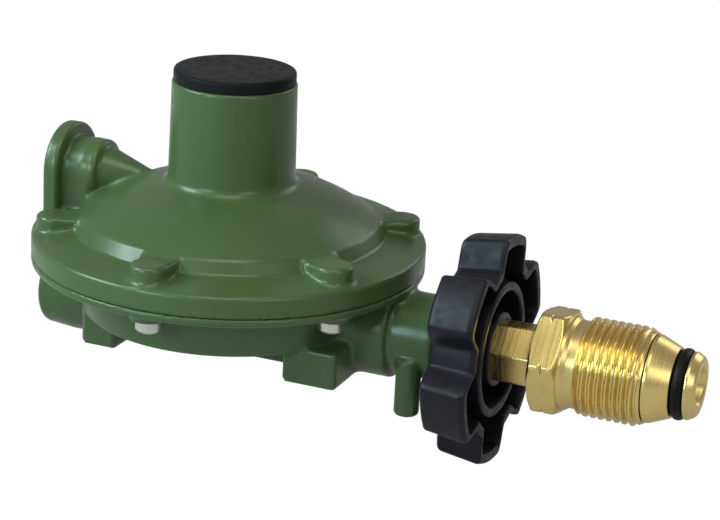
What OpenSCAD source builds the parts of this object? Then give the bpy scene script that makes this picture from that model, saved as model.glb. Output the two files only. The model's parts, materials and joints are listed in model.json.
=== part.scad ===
// Low-pressure propane regulator with a screwed-in POL cylinder connector.
// Millimetres, +Z up. The origin is on the axis of the diaphragm casing, at the height of
// the underside of the feet. The gas line runs along X: the connector points to +X, the
// outlet port and the vent point to -X.

/* [Diaphragm casing] */
// Outside diameter of the casing flange
flange_d = 92; // [90:0.5:98]
// Height of the joint between the two casing halves
joint_z = 21.1; // [20.6:0.1:23]
// Thickness of the bonnet's flange at its edge
bonnet_flange_t = 5.2; // [4.5:0.1:6.5]
// Height by which the flange's upper face climbs towards the dome
flange_crown = 1.3; // [1:0.1:2]
// Thickness of the body's flange at its edge
body_flange_t = 2; // [1.6:0.1:2.6]
// Diameter of the body's drum at its lower rim
drum_d = 68; // [67:0.5:71]
// Diameter of the body's drum just under the flange
drum_top_d = 72.6; // [72:0.2:74]
// Height of the drum's lower rim
drum_z = 7.8; // [7.2:0.1:8.4]
// Thickness of the drum's floor
floor_t = 3; // [2.4:0.1:3.2]
// Inside diameter of the gas chamber
chamber_d = 62; // [60:0.5:63]

/* [Casing screws] */
// Number of casing screws
screw_count = 6; // [4:1:8]
// Diameter of the circle of the casing screws
screw_pcd = 80.8; // [80:0.1:82]
// Diameter of a screw's shank
screw_d = 4; // [3.5:0.1:4.4]
// Diameter of a screw's head
screw_head_d = 6; // [5.8:0.1:6.6]
// Height of a screw's head
screw_head_h = 3.3; // [2.8:0.1:3.6]
// Diameter of a screw boss
screw_boss_d = 8.8; // [8:0.1:9.4]
// Height of a boss below the joint
boss_drop = 3.5; // [3:0.1:4]
// Height of a boss above the bonnet's flange
boss_rise = 4.2; // [3.6:0.1:4.6]

/* [Bonnet] */
// Diameter of the dome's outer edge
dome_d = 69.2; // [68.6:0.1:70]
// Height of the dome's outer edge above the joint
dome_edge_h = 9.7; // [9.4:0.1:10.4]
// Radius of the dome's rounded shoulder
shoulder_r = 50; // [46:1:54]
// Slope of the dome next to the tower
crown_slope = 13.5; // [12.5:0.1:14.5]
// Slope of the dome at its outer edge
edge_slope = 35; // [33:0.5:37]
// Wall of the bonnet
bonnet_wall = 2.8; // [2.2:0.1:3.2]
// Diameter of the spring tower at its foot
tower_d = 29.6; // [29:0.1:31]
// Diameter of the spring tower at its rim
tower_top_d = 28.8; // [28.4:0.1:30]
// Height of the tower's rim above the joint
tower_h = 41.6; // [40:0.2:45]
// Diameter of the thread that runs down the tower
tower_bore_d = 24; // [23:0.1:24.4]

/* [Vent] */
// Height of the vent's axis above the joint
vent_h = 15.1; // [14.6:0.1:15.6]
// Diameter of the arched plate round the vent's mouth
vent_plate_d = 20.7; // [20:0.1:21.4]
// Thickness of the arched plate
vent_plate_t = 3.7; // [3:0.1:4.5]
// Distance of the vent's mouth from the casing axis
vent_reach = 44.3; // [43.8:0.1:45]
// Diameter of the vent's socket behind the plate
vent_tube_d = 14.5; // [14:0.1:15.2]
// Length of the vent's socket behind the plate
vent_tube_len = 8.2; // [7.6:0.1:8.6]
// Diameter of the vent's neck where it leaves the socket
vent_neck_d = 11.6; // [11:0.1:12]
// Diameter of the vent's neck where it ends inside the dome
vent_neck_end_d = 2.4; // [2:0.1:3]
// Diameter of the hole in the vent's mouth
vent_bore_d = 9.6; // [9.2:0.1:10]
// Depth of the hole in the vent's mouth, down to the ring that holds the screen
vent_bore_len = 6.6; // [6:0.1:7]
// Diameter of the breathing hole behind it
vent_hole_d = 4; // [3.4:0.1:4.2]

/* [Gas line] */
// Height of the inlet's axis
line_z = 10; // [9.6:0.1:11]
// Diameter of the collar where the inlet leaves the drum
collar_d = 22; // [20.5:0.1:23]
// Distance of the collar's end face from the casing axis
collar_reach = 44; // [43:0.1:45]
// Diameter of the inlet hub
hub_d = 19.4; // [18.6:0.1:20.4]
// Distance of the inlet hub's end face from the casing axis
hub_reach = 55; // [54:0.1:56]
// Diameter of the inlet and outlet pipe threads
pipe_d = 13.2; // [12.8:0.1:13.7]
// Depth of the inlet's pipe thread
pipe_len = 12; // [10:0.1:13]
// Height of the outlet's axis
outlet_z = 5.6; // [5:0.1:6]
// Diameter of the outlet boss at its mouth
outlet_d = 18.8; // [18:0.1:19.6]
// Diameter of the outlet boss at its root
outlet_root_d = 20; // [19.6:0.1:21]
// Distance of the outlet's mouth from the casing axis
outlet_reach = 46.2; // [45.4:0.1:48]
// Depth of the outlet's pipe thread
outlet_len = 10; // [9:0.1:10.6]
// Diameter of the drilling behind the outlet's pipe thread
outlet_hole_d = 8; // [7:0.1:8.6]

/* [Underside] */
// Width of the channel block under the drum
channel_w = 18; // [17:0.5:20]
// Width of the pocket inside the channel block
pocket_w = 12; // [11:0.2:12.4]
// Height of the pocket's floor
pocket_z = 5; // [4.6:0.1:5.2]
// Width across both ends of a foot
foot_w = 38.6; // [36:0.2:40]
// Length of the inlet side's foot along the gas line
foot_in_len = 13; // [11:0.5:14]
// Length of the outlet side's foot along the gas line
foot_out_len = 8.8; // [8:0.1:10]
// Distance of the inlet side's foot from the casing axis
foot_in_x = 23; // [21:0.5:24]
// Distance of the outlet side's foot from the casing axis
foot_out_x = 19; // [18:0.5:20]
// Radius of the feet's upright corners
foot_r = 2; // [1:0.1:3]
// Diameter of the locating post under the inlet hub
post_d = 5.8; // [5:0.1:6.2]
// Distance by which the post reaches below the feet
post_drop = 6.7; // [6:0.1:8]
// Sideways distance of the post's axis from the gas line
post_y = 8; // [7.4:0.1:8.4]
// Distance of the post's axis from the hub's end face
post_inset = 5.6; // [5:0.1:6.4]

/* [Inlet nozzle and valve] */
// Distance of the valve seat from the casing axis
seat_x = 24; // [23.6:0.1:24.4]
// Diameter of the nozzle's thread
nozzle_d = 9; // [8.4:0.1:9.4]
// Length of the nozzle's threaded part
nozzle_len = 9; // [8:0.1:9.6]
// Diameter of the nozzle's nose
nozzle_nose_d = 5.6; // [5:0.1:6.4]
// Length of the nozzle's nose
nozzle_nose_len = 2; // [1.6:0.1:2.4]
// Diameter of the orifice
orifice_d = 3; // [2:0.1:3.6]
// Diameter of the valve's sliding stem
stem_d = 3.2; // [2.8:0.1:3.4]
// Diameter of the stem's head, which carries the disc
stem_head_d = 8.8; // [8:0.1:9]
// Diameter of the rubber valve disc
disc_d = 6.8; // [6.4:0.1:7.2]
// Thickness of the rubber valve disc
disc_t = 2.4; // [2:0.1:2.8]
// Gap between the open valve's disc and its seat
valve_gap = 1.05; // [1.05:0.05:1.3]

/* [Lever] */
// Distance of the lever's pivot from the casing axis
lever_arm = 20; // [20:0.5:21]
// Length of the lever's short arm, down to the valve stem
lever_drop = 5; // [4.8:0.1:5.2]
// Diameter of the lever's pivot pin
pin_d = 3; // [2.6:0.1:3.2]
// Thickness of the lever's arms
lever_t = 1.4; // [1.2:0.1:1.5]
// Width of the lever's long arm
lever_w = 4; // [3:0.1:4.4]
// Diameter of the rounded tips of both arms
lever_tip_d = 2; // [1.8:0.1:2.2]
// Diameter of the lever's eye
lever_eye_d = 5.4; // [5:0.1:5.6]

/* [Diaphragm] */
// Thickness of the rubber diaphragm
diaphragm_t = 0.8; // [0.6:0.1:1]
// Diameter of the diaphragm over its clamped rim
diaphragm_d = 75; // [74:0.2:76]
// Distance by which the diaphragm's centre rests below its rim
diaphragm_sag = 1.8; // [1.5:0.1:1.9]
// Diameter of the steel plate on the diaphragm
plate_d = 46; // [42:0.5:47]
// Thickness of the steel plate
plate_t = 1; // [0.8:0.1:1.2]
// Diameter of the pusher's stem, which passes through the plate
pusher_d = 5; // [4.4:0.1:5.4]
// Diameter of the pusher's flange
pusher_flange_d = 13; // [12:0.1:14]
// Height of the pusher's stem above the plate
pusher_len = 13; // [12:0.1:14]
// Thickness of the relief valve's rubber seat
relief_t = 1; // [0.8:0.1:1]

/* [Springs] */
// Outside diameter of the main spring
spring_d = 20; // [19:0.1:21]
// Wire of the main spring
spring_wire = 1.8; // [1.5:0.1:2]
// Number of working coils of the main spring
spring_turns = 6; // [5:1:7]
// Outside diameter of the relief spring
relief_spring_d = 11; // [10:0.1:11.4]
// Wire of the relief spring
relief_wire = 1.1; // [0.9:0.1:1.2]
// Number of working coils of the relief spring
relief_turns = 4; // [3:1:5]

/* [Spring adjuster and cap] */
// Height of the adjusting screw
adjuster_h = 6; // [5:0.1:7]
// Distance of the adjusting screw's top below the tower's rim
adjuster_depth = 6.7; // [6.6:0.1:7.2]
// Width across flats of the adjusting screw's socket
adjuster_af = 10; // [8:0.1:12]
// Thickness of the upper spring seat
spring_seat_t = 1.6; // [1.2:0.1:2]
// Diameter of the closing cap's head
cap_d = 28.2; // [27.8:0.1:28.6]
// Height of the closing cap's head
cap_h = 2.8; // [2.4:0.1:3.2]
// Length of the closing cap's threaded plug
cap_plug_len = 5; // [4.5:0.1:5.4]
// Width across flats of the recess under the closing cap
cap_recess_af = 12; // [10:0.5:14]
// Width of the closing cap's gasket
gasket_w = 1; // [0.8:0.1:1.1]
// Height of the closing cap's gasket
gasket_h = 1.4; // [1.2:0.1:1.6]

/* [Handwheel] */
// Diameter over the handwheel's lobes
wheel_d = 52.8; // [50.8:0.2:54.8]
// Depth of the hollows between the lobes
lobe_depth = 5.6; // [4.6:0.1:6.2]
// Number of lobes
lobe_count = 6; // [5:1:8]
// Share of a lobe's angle that each hollow takes
hollow_share = 0.56; // [0.4:0.02:0.8]
// Width of the handwheel along the gas line
wheel_w = 11; // [10.4:0.1:12]
// Gap between the inlet hub and the handwheel
wheel_gap = 3; // [2:0.1:3.4]
// Wall of the handwheel's rim
wheel_wall = 2.6; // [2:0.1:3.2]
// Thickness of the handwheel's back
wheel_back_t = 3; // [2.4:0.1:3.6]
// Outside diameter of the handwheel's inner ring
wheel_ring_d = 31; // [29:0.5:33]
// Diameter of the handwheel's hub
wheel_hub_d = 17; // [16.6:0.1:20]

/* [Nut] */
// Width across flats of the nut's neck, which the handwheel holds
neck_af = 13; // [12.4:0.1:14]
// Width across flats of the nut's hexagon
hex_af = 22.2; // [21.6:0.1:23]
// Length of the nut's hexagon
hex_len = 6.5; // [6:0.1:7.5]
// Distance from the handwheel's front to the nut's hexagon
neck_show = 9; // [8.4:0.1:10]
// Length of the groove between the hexagon and the thread
groove_len = 3.8; // [3.4:0.1:4.4]
// Diameter of the groove between the hexagon and the thread
groove_d = 20; // [19.4:0.1:20.4]
// Outside diameter of the left-hand thread
thread_d = 22.35; // [22:0.05:22.7]
// Length of the thread
thread_len = 13.2; // [12:0.1:14.4]
// Length of the tapered lead in front of the thread
lead_len = 1.9; // [1.5:0.1:2.4]
// Diameter at the end of the tapered lead
lead_d = 20.4; // [20:0.1:21]

/* [Connector nipple] */
// Diameter of the nipple's shank, on which the nut turns
shank_d = 11; // [10.6:0.1:11.4]
// Diameter of the gas hole through the nipple
nipple_hole_d = 6.6; // [5.6:0.1:7.2]
// Largest diameter of the nipple's nose
nose_d = 19.8; // [19.4:0.1:20.4]
// Length of the nose's tapered part
nose_len = 5.7; // [5.2:0.1:6.4]
// Diameter of the nose beside the seal ring
nose_front_d = 15.8; // [15.4:0.1:16.4]
// Width of the seal ring's groove
seal_w = 3; // [2.8:0.1:3.2]
// Outside diameter of the seal ring
seal_d = 16.1; // [15.8:0.1:16.4]
// Length of the nose's tip in front of the seal ring
tip_len = 2.4; // [2:0.1:3]
// Diameter of the nose's tip
tip_d = 15.2; // [14.8:0.1:15.4]
// Diameter of the mouth in the nose's tip
mouth_d = 8.4; // [7.6:0.1:9.4]

/* [Hidden] */

$fn = 72;
run_gap = 0.05;       // radial clearance of a shaft or thread that turns or slides
seat_gap = 0.02;      // clearance of pieces screwed or pressed together for good
loose_gap = 0.4;      // clearance round moving pieces that don't touch
overlap = 1;          // how far a tool body reaches past the face that it cuts
edge_round = 1;       // rounding of a casting's outer edges

casting = [0.36, 0.46, 0.36];
plastic = [0.16, 0.16, 0.18];
rubber = [0.10, 0.10, 0.10];
yellow_brass = [0.80, 0.69, 0.38];
zinc = [0.78, 0.78, 0.76];
steel = [0.62, 0.63, 0.66];

// heights of the casing
flange_top_z = joint_z + bonnet_flange_t;
crown_z = flange_top_z + flange_crown;
dome_z = joint_z + dome_edge_h;
tower_z = joint_z + tower_h;
chamber_z = drum_z + floor_t;
rim_z = joint_z - diaphragm_t;
boss_bottom_z = joint_z - boss_drop;
boss_skin = 1.5;      // metal left above a screw hole in the bonnet's boss
screw_end_gap = 1;    // depth of that hole beyond the screw's end
flange_foot_gap = 2.4; // flat of the flange between the dome's edge and the fillet's middle

// the dome's rounded shoulder and the slope above it
shoulder = [dome_d / 2 - shoulder_r * sin(edge_slope), dome_z - shoulder_r * cos(edge_slope)];
slope_start = shoulder + shoulder_r * [sin(crown_slope), cos(crown_slope)];
inner_shoulder_r = shoulder_r - bonnet_wall;
inner_slope_start = shoulder + inner_shoulder_r * [sin(crown_slope), cos(crown_slope)];
bonnet_cavity_d = chamber_d + 1;
inner_edge_slope = asin((bonnet_cavity_d / 2 - shoulder[0]) / inner_shoulder_r);
tower_fillet = 2.5;
gasket_seat_d = tower_bore_d + 2 * gasket_w + 2 * run_gap;

// the diaphragm, its plate and the pusher
mid_z = rim_z - diaphragm_sag;
plate_z = mid_z + diaphragm_t;
plate_top_z = plate_z + plate_t;
flange_z = mid_z - relief_t;
lever_z = line_z + lever_drop;
lever_x = -lever_arm;
slot_half = lever_tip_d / 2 + loose_gap;
pusher_w = 5;
pusher_depth = 7;
pusher_lip = 1.4;
pusher_flange_t = flange_z - lever_z - slot_half;
relief_nut_h = 3;
relief_nut_af = 8;
nut_z = plate_top_z + pusher_len - relief_nut_h;

// the tower's contents
adjuster_top_z = tower_z - adjuster_depth;
adjuster_z = adjuster_top_z - adjuster_h;
spring_seat_z = adjuster_z - spring_seat_t;
spigot_drop = 2;      // how far the seat's spigot reaches into the main spring
seat_hole_d = 8;

// the vent's screen sits behind a small step at the end of the mouth
screen_t = 0.6;
ring_t = 0.8;
screen_d = vent_bore_d - 1;
screen_end_x = vent_bore_len + screen_t + ring_t - vent_reach;
vent_neck_end_x = 19;
vent_hole_end_x = 23;
vent_hole_drop = 2.6;  // the breathing hole lies below the mouth's axis

// distances along the gas line
collar_start_x = foot_in_x + foot_in_len - 3;
nozzle_end_x = seat_x + nozzle_nose_len + nozzle_len;
pipe_x = hub_reach - pipe_len;
filter_d = 10;
pocket_end_x = seat_x + nozzle_nose_len / 2;
pocket_start_x = -26;
stem_head_x = seat_x - valve_gap - disc_t;
wheel_x = hub_reach + wheel_gap;
wheel_front_x = wheel_x + wheel_w;
hex_x = wheel_front_x + neck_show;
thread_x = hex_x + hex_len + groove_len;
lead_x = thread_x + thread_len;
nut_end_x = lead_x + lead_len;
nose_x = nut_end_x + 2 * run_gap;
seal_x = nose_x + nose_len;
tip_x = seal_x + seal_w;
nose_end_x = tip_x + tip_len;

// the nut's corners stand 9 degrees above the horizontal
hex_turn = -90 - 9;
// turn of the handwheel from a lobe that points straight up
lobe_turn = 10;

// ---- helpers -------------------------------------------------------------------------

// Points of an arc round [x, y], from angle a0 to angle a1.
function arc(centre, r, a0, a1, steps = 8) =
    [for (i = [0 : steps]) centre + r * [cos(a0 + (a1 - a0) * i / steps),
                                        sin(a0 + (a1 - a0) * i / steps)]];

// Corner radius of a hexagon from its width across flats.
function hex_r(af) = af / sqrt(3);

// Places its children along the gas line: their Z axis becomes X, at height z.
module along_x(x, z = line_z, y = 0) {
    translate([x, y, z]) rotate([0, 90, 0]) children();
}

// A round bar along the gas line from x0 to x1.
module bar_x(x0, x1, d, z = line_z, d2 = undef) {
    along_x(x0, z) cylinder(h = x1 - x0, d1 = d, d2 = is_undef(d2) ? d : d2);
}

// A turned piece along the gas line: the profile's points are [x, radius].
module turned_x(points, z = line_z) {
    translate([0, 0, z]) rotate([0, 90, 0])
        rotate_extrude() polygon([for (p = points) [p[1], p[0]]]);
}

// A box from one corner to the other.
module block(low, high) {
    translate(low) cube(high - low);
}

// A box with rounded upright corners.
module round_block(low, high, r) {
    size = high - low;
    translate([low[0], low[1], low[2]]) linear_extrude(size[2]) union() {
        translate([r, 0]) square([size[0] - 2 * r, size[1]]);
        translate([0, r]) square([size[0], size[1] - 2 * r]);
        for (x = [r, size[0] - r], y = [r, size[1] - r]) translate([x, y]) circle(r);
    }
}

// Copies of the children on the circle of the casing screws.
module at_screws() {
    for (i = [0 : screw_count - 1])
        rotate(30 + i * 360 / screw_count) translate([screw_pcd / 2, 0, 0]) children();
}

// A coil spring with closed ends, swept as one tube with rings of wire_sides points.
wire_sides = 6;
coil_rings = 12;
closed_turns = 0.8;
function coil_angle(i) = i * 360 / coil_rings;
// Height of the wire's centre after t turns: flat end coils, an even rise between them.
function coil_z(t, turns, wire, length) =
    let (rise = (length - wire - 2 * closed_turns * wire * 1.3) / turns,
         flat = wire * 1.3)
    t < closed_turns ? wire / 2 + flat * t
    : t < closed_turns + turns ? wire / 2 + flat * closed_turns + rise * (t - closed_turns)
    : wire / 2 + flat * (t - turns) + rise * turns;
function coil_centre(t, d, turns, wire, length) =
    [(d - wire) / 2 * cos(360 * t), (d - wire) / 2 * sin(360 * t),
     coil_z(t, turns, wire, length)];
module coil(d, wire, turns, length) {
    total = turns + 2 * closed_turns;
    rings = ceil(total * coil_rings);
    points = [for (i = [0 : rings]) let (t = total * i / rings)
        for (k = [0 : wire_sides - 1]) let (a = 360 * k / wire_sides)
            coil_centre(t, d, turns, wire, length)
            + wire / 2 * [cos(a) * cos(360 * t), cos(a) * sin(360 * t), sin(a)]];
    sides = [for (i = [0 : rings - 1]) for (k = [0 : wire_sides - 1])
        let (a = i * wire_sides + k, b = i * wire_sides + (k + 1) % wire_sides)
        for (face = [[a, a + wire_sides, b], [b, a + wire_sides, b + wire_sides]]) face];
    start = [for (k = [1 : wire_sides - 2]) [0, k, k + 1]];
    last = rings * wire_sides;
    finish = [for (k = [1 : wire_sides - 2]) [last, last + k + 1, last + k]];
    polyhedron(points, concat(sides, start, finish));
}

// ---- casing --------------------------------------------------------------------------

// Outer and inner outline of the bonnet, as [radius, height].
module bonnet_profile() {
    flange_r = flange_d / 2;
    dome_foot_r = dome_d / 2 + flange_foot_gap;
    tower_r = tower_d / 2;
    fillet_x = tower_r + tower_fillet * (1 - sin(crown_slope));
    fillet_z = slope_start[1] + (slope_start[0] - fillet_x) * tan(crown_slope);
    inner_z = inner_slope_start[1]
        + (inner_slope_start[0] - tower_bore_d / 2) * tan(crown_slope);
    outer = concat(
        [[flange_r, joint_z]],
        arc([flange_r - edge_round, flange_top_z - edge_round], edge_round, 0, 85, 5),
        arc([dome_foot_r, crown_z + edge_round], edge_round, -92, -165, 5),
        arc(shoulder, shoulder_r, 90 - edge_slope, 90 - crown_slope, 10),
        arc([tower_r + tower_fillet, fillet_z + tower_fillet * cos(crown_slope)],
            tower_fillet, 270 - crown_slope, 180, 6),
        [[tower_top_d / 2, tower_z]]);
    inner = concat(
        [[gasket_seat_d / 2, tower_z], [gasket_seat_d / 2, tower_z - gasket_h],
         [tower_bore_d / 2, tower_z - gasket_h], [tower_bore_d / 2, inner_z]],
        arc(shoulder, inner_shoulder_r, 90 - crown_slope, 90 - inner_edge_slope, 8),
        [[bonnet_cavity_d / 2, joint_z]]);
    polygon(concat(outer, inner));
}

// Raised boss round a casing screw, with a rounded upper edge and a web to the dome.
module bonnet_boss() {
    r = screw_boss_d / 2;
    top_z = flange_top_z + boss_rise;
    rotate_extrude() polygon(concat([[0, joint_z], [r, joint_z]],
        arc([r - edge_round, top_z - edge_round], edge_round, 0, 90, 5), [[0, top_z]]));
    block([dome_d / 2 - screw_pcd / 2 - overlap, -r, joint_z], [0, r, top_z - edge_round / 2]);
}

// Arched plate, socket and neck of the vent, which breathes through the dome.
module vent_outside() {
    vent_z = joint_z + vent_h;
    plate_end_x = vent_plate_t - vent_reach;
    neck_x = plate_end_x + vent_tube_len;
    bar_x(-vent_reach, plate_end_x, vent_plate_d, vent_z);
    block([-vent_reach, -vent_plate_d / 2, flange_top_z - overlap],
          [plate_end_x, vent_plate_d / 2, vent_z]);
    turned_x(concat([[plate_end_x - overlap, 0], [plate_end_x - overlap, vent_tube_d / 2]],
        [for (p = arc([neck_x - edge_round, vent_tube_d / 2 - edge_round],
                      edge_round, 90, 0, 4)) p],
        [[neck_x, vent_neck_d / 2], [-vent_neck_end_x, vent_neck_end_d / 2],
         [-vent_neck_end_x, 0]]), vent_z);
    // the web that carries the socket on the bonnet
    block([-vent_reach + overlap, -vent_tube_d / 2, crown_z - overlap],
          [neck_x - edge_round, vent_tube_d / 2, vent_z]);
}

module bonnet() color(casting) difference() {
    union() {
        rotate_extrude() bonnet_profile();
        difference() {
            union() {
                vent_outside();
                at_screws() bonnet_boss();
            }
            // keeps the dome's inside clear of what is added outside
            bonnet_inside();
        }
    }
    at_screws() translate([0, 0, joint_z - overlap])
        cylinder(h = overlap + bonnet_flange_t + boss_rise - boss_skin, d = screw_d);
    vent_cut();
}

// The space inside the bonnet, below the tower.
module bonnet_inside() {
    cylinder(h = tower_z + overlap, d = tower_bore_d);
    rotate_extrude() polygon(concat([[0, joint_z - overlap]],
        [[bonnet_cavity_d / 2, joint_z - overlap]],
        arc(shoulder, inner_shoulder_r, 90 - inner_edge_slope, 90 - crown_slope, 8),
        [[0, inner_slope_start[1]]]));
}

// The vent's mouth and the breathing hole behind it.
module vent_cut() {
    vent_z = joint_z + vent_h;
    bar_x(-vent_reach - overlap, vent_bore_len - vent_reach, vent_bore_d, vent_z);
    bar_x(vent_bore_len - vent_reach - overlap, screen_end_x, screen_d, vent_z);
    bar_x(-vent_reach, -vent_hole_end_x, vent_hole_d, vent_z - vent_hole_drop);
}

// Outer outline of the body's drum and flange, as [radius, height].
module drum_profile() {
    flange_r = flange_d / 2;
    under_z = joint_z - body_flange_t;
    web_z = under_z - 0.6;
    polygon(concat([[0, drum_z]],
        arc([drum_d / 2 - edge_round, drum_z + edge_round], edge_round, -90, -5, 4),
        [[drum_top_d / 2, web_z - edge_round]],
        arc([drum_top_d / 2 + edge_round, web_z - edge_round], edge_round, 175, 100, 4),
        arc([flange_r - edge_round, under_z + edge_round], edge_round, -85, 0, 4),
        [[flange_r, joint_z], [0, joint_z]]));
}

// Screw boss under the body's flange, with a web to the drum.
module body_boss() {
    r = screw_boss_d / 2;
    rotate_extrude() polygon(concat(
        [[0, boss_bottom_z]],
        arc([r - edge_round / 2, boss_bottom_z + edge_round / 2], edge_round / 2, -90, 0, 3),
        [[r, joint_z], [0, joint_z]]));
    block([-r - 2, -r, boss_bottom_z], [0, r, joint_z - overlap]);
}

// Locating post under the inlet hub, with a rounded end.
module post() {
    r = post_d / 2;
    translate([hub_reach - post_inset, -post_y, 0]) rotate_extrude() polygon(concat(
        [[0, -post_drop]],
        arc([r - edge_round, edge_round - post_drop], edge_round, -90, 0, 4),
        [[r, line_z - 3], [0, line_z - 3]]));
}

// Cheeks that hold the lever's pin.
cheek_in = 3.4;
cheek_out = 7.4;
module lever_cheeks() {
    for (side = [-1, 1]) {
        y0 = side > 0 ? cheek_in : -cheek_out;
        block([lever_x - 2.6, y0, pocket_z], [lever_x + 2.6, y0 + cheek_out - cheek_in,
                                             lever_z + pin_d / 2 + 0.9]);
    }
}

// Webs across the pocket, in which the valve stem slides.
web_t = 4;
web_x = [-11, 10];
module stem_webs() {
    for (x = web_x)
        block([x - web_t / 2, -channel_w / 2, pocket_z - overlap],
              [x + web_t / 2, channel_w / 2, line_z + stem_d / 2 + 1.4]);
}

module body_outside() {
    hub_r = hub_d / 2;
    rotate_extrude() drum_profile();
    at_screws() body_boss();
    // inlet collar and hub, with rounded edges
    turned_x(concat([[collar_start_x, 0], [collar_start_x, collar_d / 2]],
        arc([collar_reach - edge_round, collar_d / 2 - edge_round], edge_round, 90, 0, 4),
        [[collar_reach, hub_r]],
        arc([hub_reach - edge_round, hub_r - edge_round], edge_round, 90, 0, 4),
        [[hub_reach, 0]]));
    // outlet boss
    turned_x(concat([[-outlet_reach, 0]],
        arc([edge_round - outlet_reach, outlet_d / 2 - edge_round], edge_round, 180, 90, 4),
        [[-outlet_reach * 0.84, outlet_root_d / 2], [pocket_start_x - 2, outlet_root_d / 2],
         [pocket_start_x - 2, 0]]), outlet_z);
    // channel block and feet
    block([pocket_start_x - 4, -channel_w / 2, 0],
          [collar_start_x, channel_w / 2, chamber_z]);
    round_block([foot_in_x, -foot_w / 2, 0],
                [foot_in_x + foot_in_len, foot_w / 2, drum_z + 0.9], foot_r);
    round_block([-foot_out_x - foot_out_len, -foot_w / 2 - 1.2, 0],
                [-foot_out_x, foot_w / 2 + 1.2, drum_z + 0.9], foot_r);
    post();
}

module lower_body() color(casting) difference() {
    union() {
        difference() {
            body_outside();
            translate([0, 0, chamber_z]) cylinder(h = joint_z, d = chamber_d);
            block([pocket_start_x, -pocket_w / 2, pocket_z],
                  [pocket_end_x, pocket_w / 2, joint_z]);
        }
        lever_cheeks();
        stem_webs();
        // boss round the nozzle
        bar_x(pocket_end_x, chamber_d / 2 + overlap, nozzle_d + 4.6);
    }
    // recess that clamps the diaphragm's rim
    translate([0, 0, rim_z]) cylinder(h = joint_z, d = diaphragm_d + 2 * run_gap);
    at_screws() translate([0, 0, boss_bottom_z - overlap])
        cylinder(h = joint_z, d = screw_d + loose_gap);
    // inlet: pipe thread, filter chamber and nozzle thread
    bar_x(pipe_x, hub_reach + overlap, pipe_d);
    bar_x(nozzle_end_x, pipe_x + overlap, filter_d);
    bar_x(pocket_end_x - overlap, nozzle_end_x + overlap, nozzle_d);
    // outlet: pipe thread and drilling
    bar_x(-outlet_reach - overlap, outlet_len - outlet_reach, pipe_d, outlet_z);
    bar_x(-outlet_reach, pocket_start_x + overlap, outlet_hole_d, outlet_z);
    // bores of the stem's webs and of the lever's cheeks
    bar_x(web_x[0] - web_t, web_x[1] + web_t, stem_d + 2 * run_gap);
    translate([lever_x, cheek_out + overlap, lever_z]) rotate([90, 0, 0])
        cylinder(h = 2 * cheek_out + 2 * overlap, d = pin_d);
}

// Pan-head screws, driven in from below.
module casing_screws() color(zinc) at_screws() translate([0, 0, boss_bottom_z]) difference() {
    union() {
        mirror([0, 0, 1]) rotate_extrude() polygon(concat([[0, 0], [screw_head_d / 2, 0]],
            arc([screw_head_d / 2 - 1.4, screw_head_h - 1.4], 1.4, 0, 90, 6),
            [[0, screw_head_h]]));
        cylinder(h = boss_drop + bonnet_flange_t + boss_rise - boss_skin - screw_end_gap,
                 d = screw_d - 2 * seat_gap);
    }
    // cross recess
    for (turn = [0, 90]) rotate(turn)
        block([-1.8, -0.45, -screw_head_h - overlap], [1.8, 0.45, 1.1 - screw_head_h]);
}

// ---- vent, filter and nozzle ---------------------------------------------------------

// Perforated disc that keeps insects out of the vent.
module vent_screen() color(steel) along_x(screen_end_x - screen_t, joint_z + vent_h) difference() {
    cylinder(h = screen_t, d = screen_d - 2 * seat_gap);
    for (ring = [0 : 2], i = [0 : max(ring * 6 - 1, 0)])
        rotate(i * 360 / max(ring * 6, 1)) translate([ring * 2.2, 0, -overlap])
            cylinder(h = screen_t + 2 * overlap, d = 1.3, $fn = 16);
}

// Spring ring that holds the screen.
module vent_ring() color(steel)
    along_x(screen_end_x - screen_t - ring_t, joint_z + vent_h) difference() {
        cylinder(h = ring_t, d = screen_d - 2 * seat_gap);
        translate([0, 0, -overlap]) cylinder(h = ring_t + 2 * overlap, d = screen_d - 2.4);
        block([0, -0.9, -overlap], [screen_d, 0.9, ring_t + overlap]);
    }

// Sintered filter thimble behind the nipple.
module inlet_filter() color([0.70, 0.58, 0.36]) {
    brim_x = pipe_x - 1.2;
    turned_x([[nozzle_end_x + 1, 0], [nozzle_end_x + 1, filter_d / 2 - 1],
              [brim_x, filter_d / 2 - 1], [brim_x, filter_d / 2 - seat_gap],
              [pipe_x, filter_d / 2 - seat_gap], [pipe_x, filter_d / 2 - 2.2],
              [nozzle_end_x + 2.6, filter_d / 2 - 2.2], [nozzle_end_x + 2.6, 0]]);
}

// Brass nozzle with the valve's seat on its nose.
module inlet_nozzle() color(yellow_brass)
    turned_x([[seat_x, orifice_d / 2], [seat_x, nozzle_nose_d / 2],
              [seat_x + nozzle_nose_len, nozzle_nose_d / 2],
              [seat_x + nozzle_nose_len, nozzle_d / 2 - seat_gap],
              [nozzle_end_x, nozzle_d / 2 - seat_gap], [nozzle_end_x, orifice_d / 2 + 1.5],
              [nozzle_end_x - 3, orifice_d / 2]]);

// ---- valve and lever -----------------------------------------------------------------

fork_len = 7;
fork_w = 6;
fork_h = 3.6;
// Sliding stem: a fork for the lever at one end, the disc's cup at the other.
module valve_stem() color(yellow_brass) difference() {
    union() {
        bar_x(lever_x, stem_head_x - 2, stem_d);
        bar_x(stem_head_x - 2, stem_head_x + disc_t - 1, stem_head_d);
        block([lever_x - fork_len / 2, -fork_w / 2, line_z - fork_h / 2],
              [lever_x + fork_len / 2, fork_w / 2, line_z + fork_h / 2]);
    }
    block([lever_x - slot_half, -fork_w / 2 + 1.1, line_z - fork_h],
          [lever_x + slot_half, fork_w / 2 - 1.1, line_z + fork_h]);
    bar_x(stem_head_x, stem_head_x + disc_t, disc_d);
}

module valve_disc() color(rubber) bar_x(stem_head_x, stem_head_x + disc_t, disc_d - 2 * seat_gap);

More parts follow.
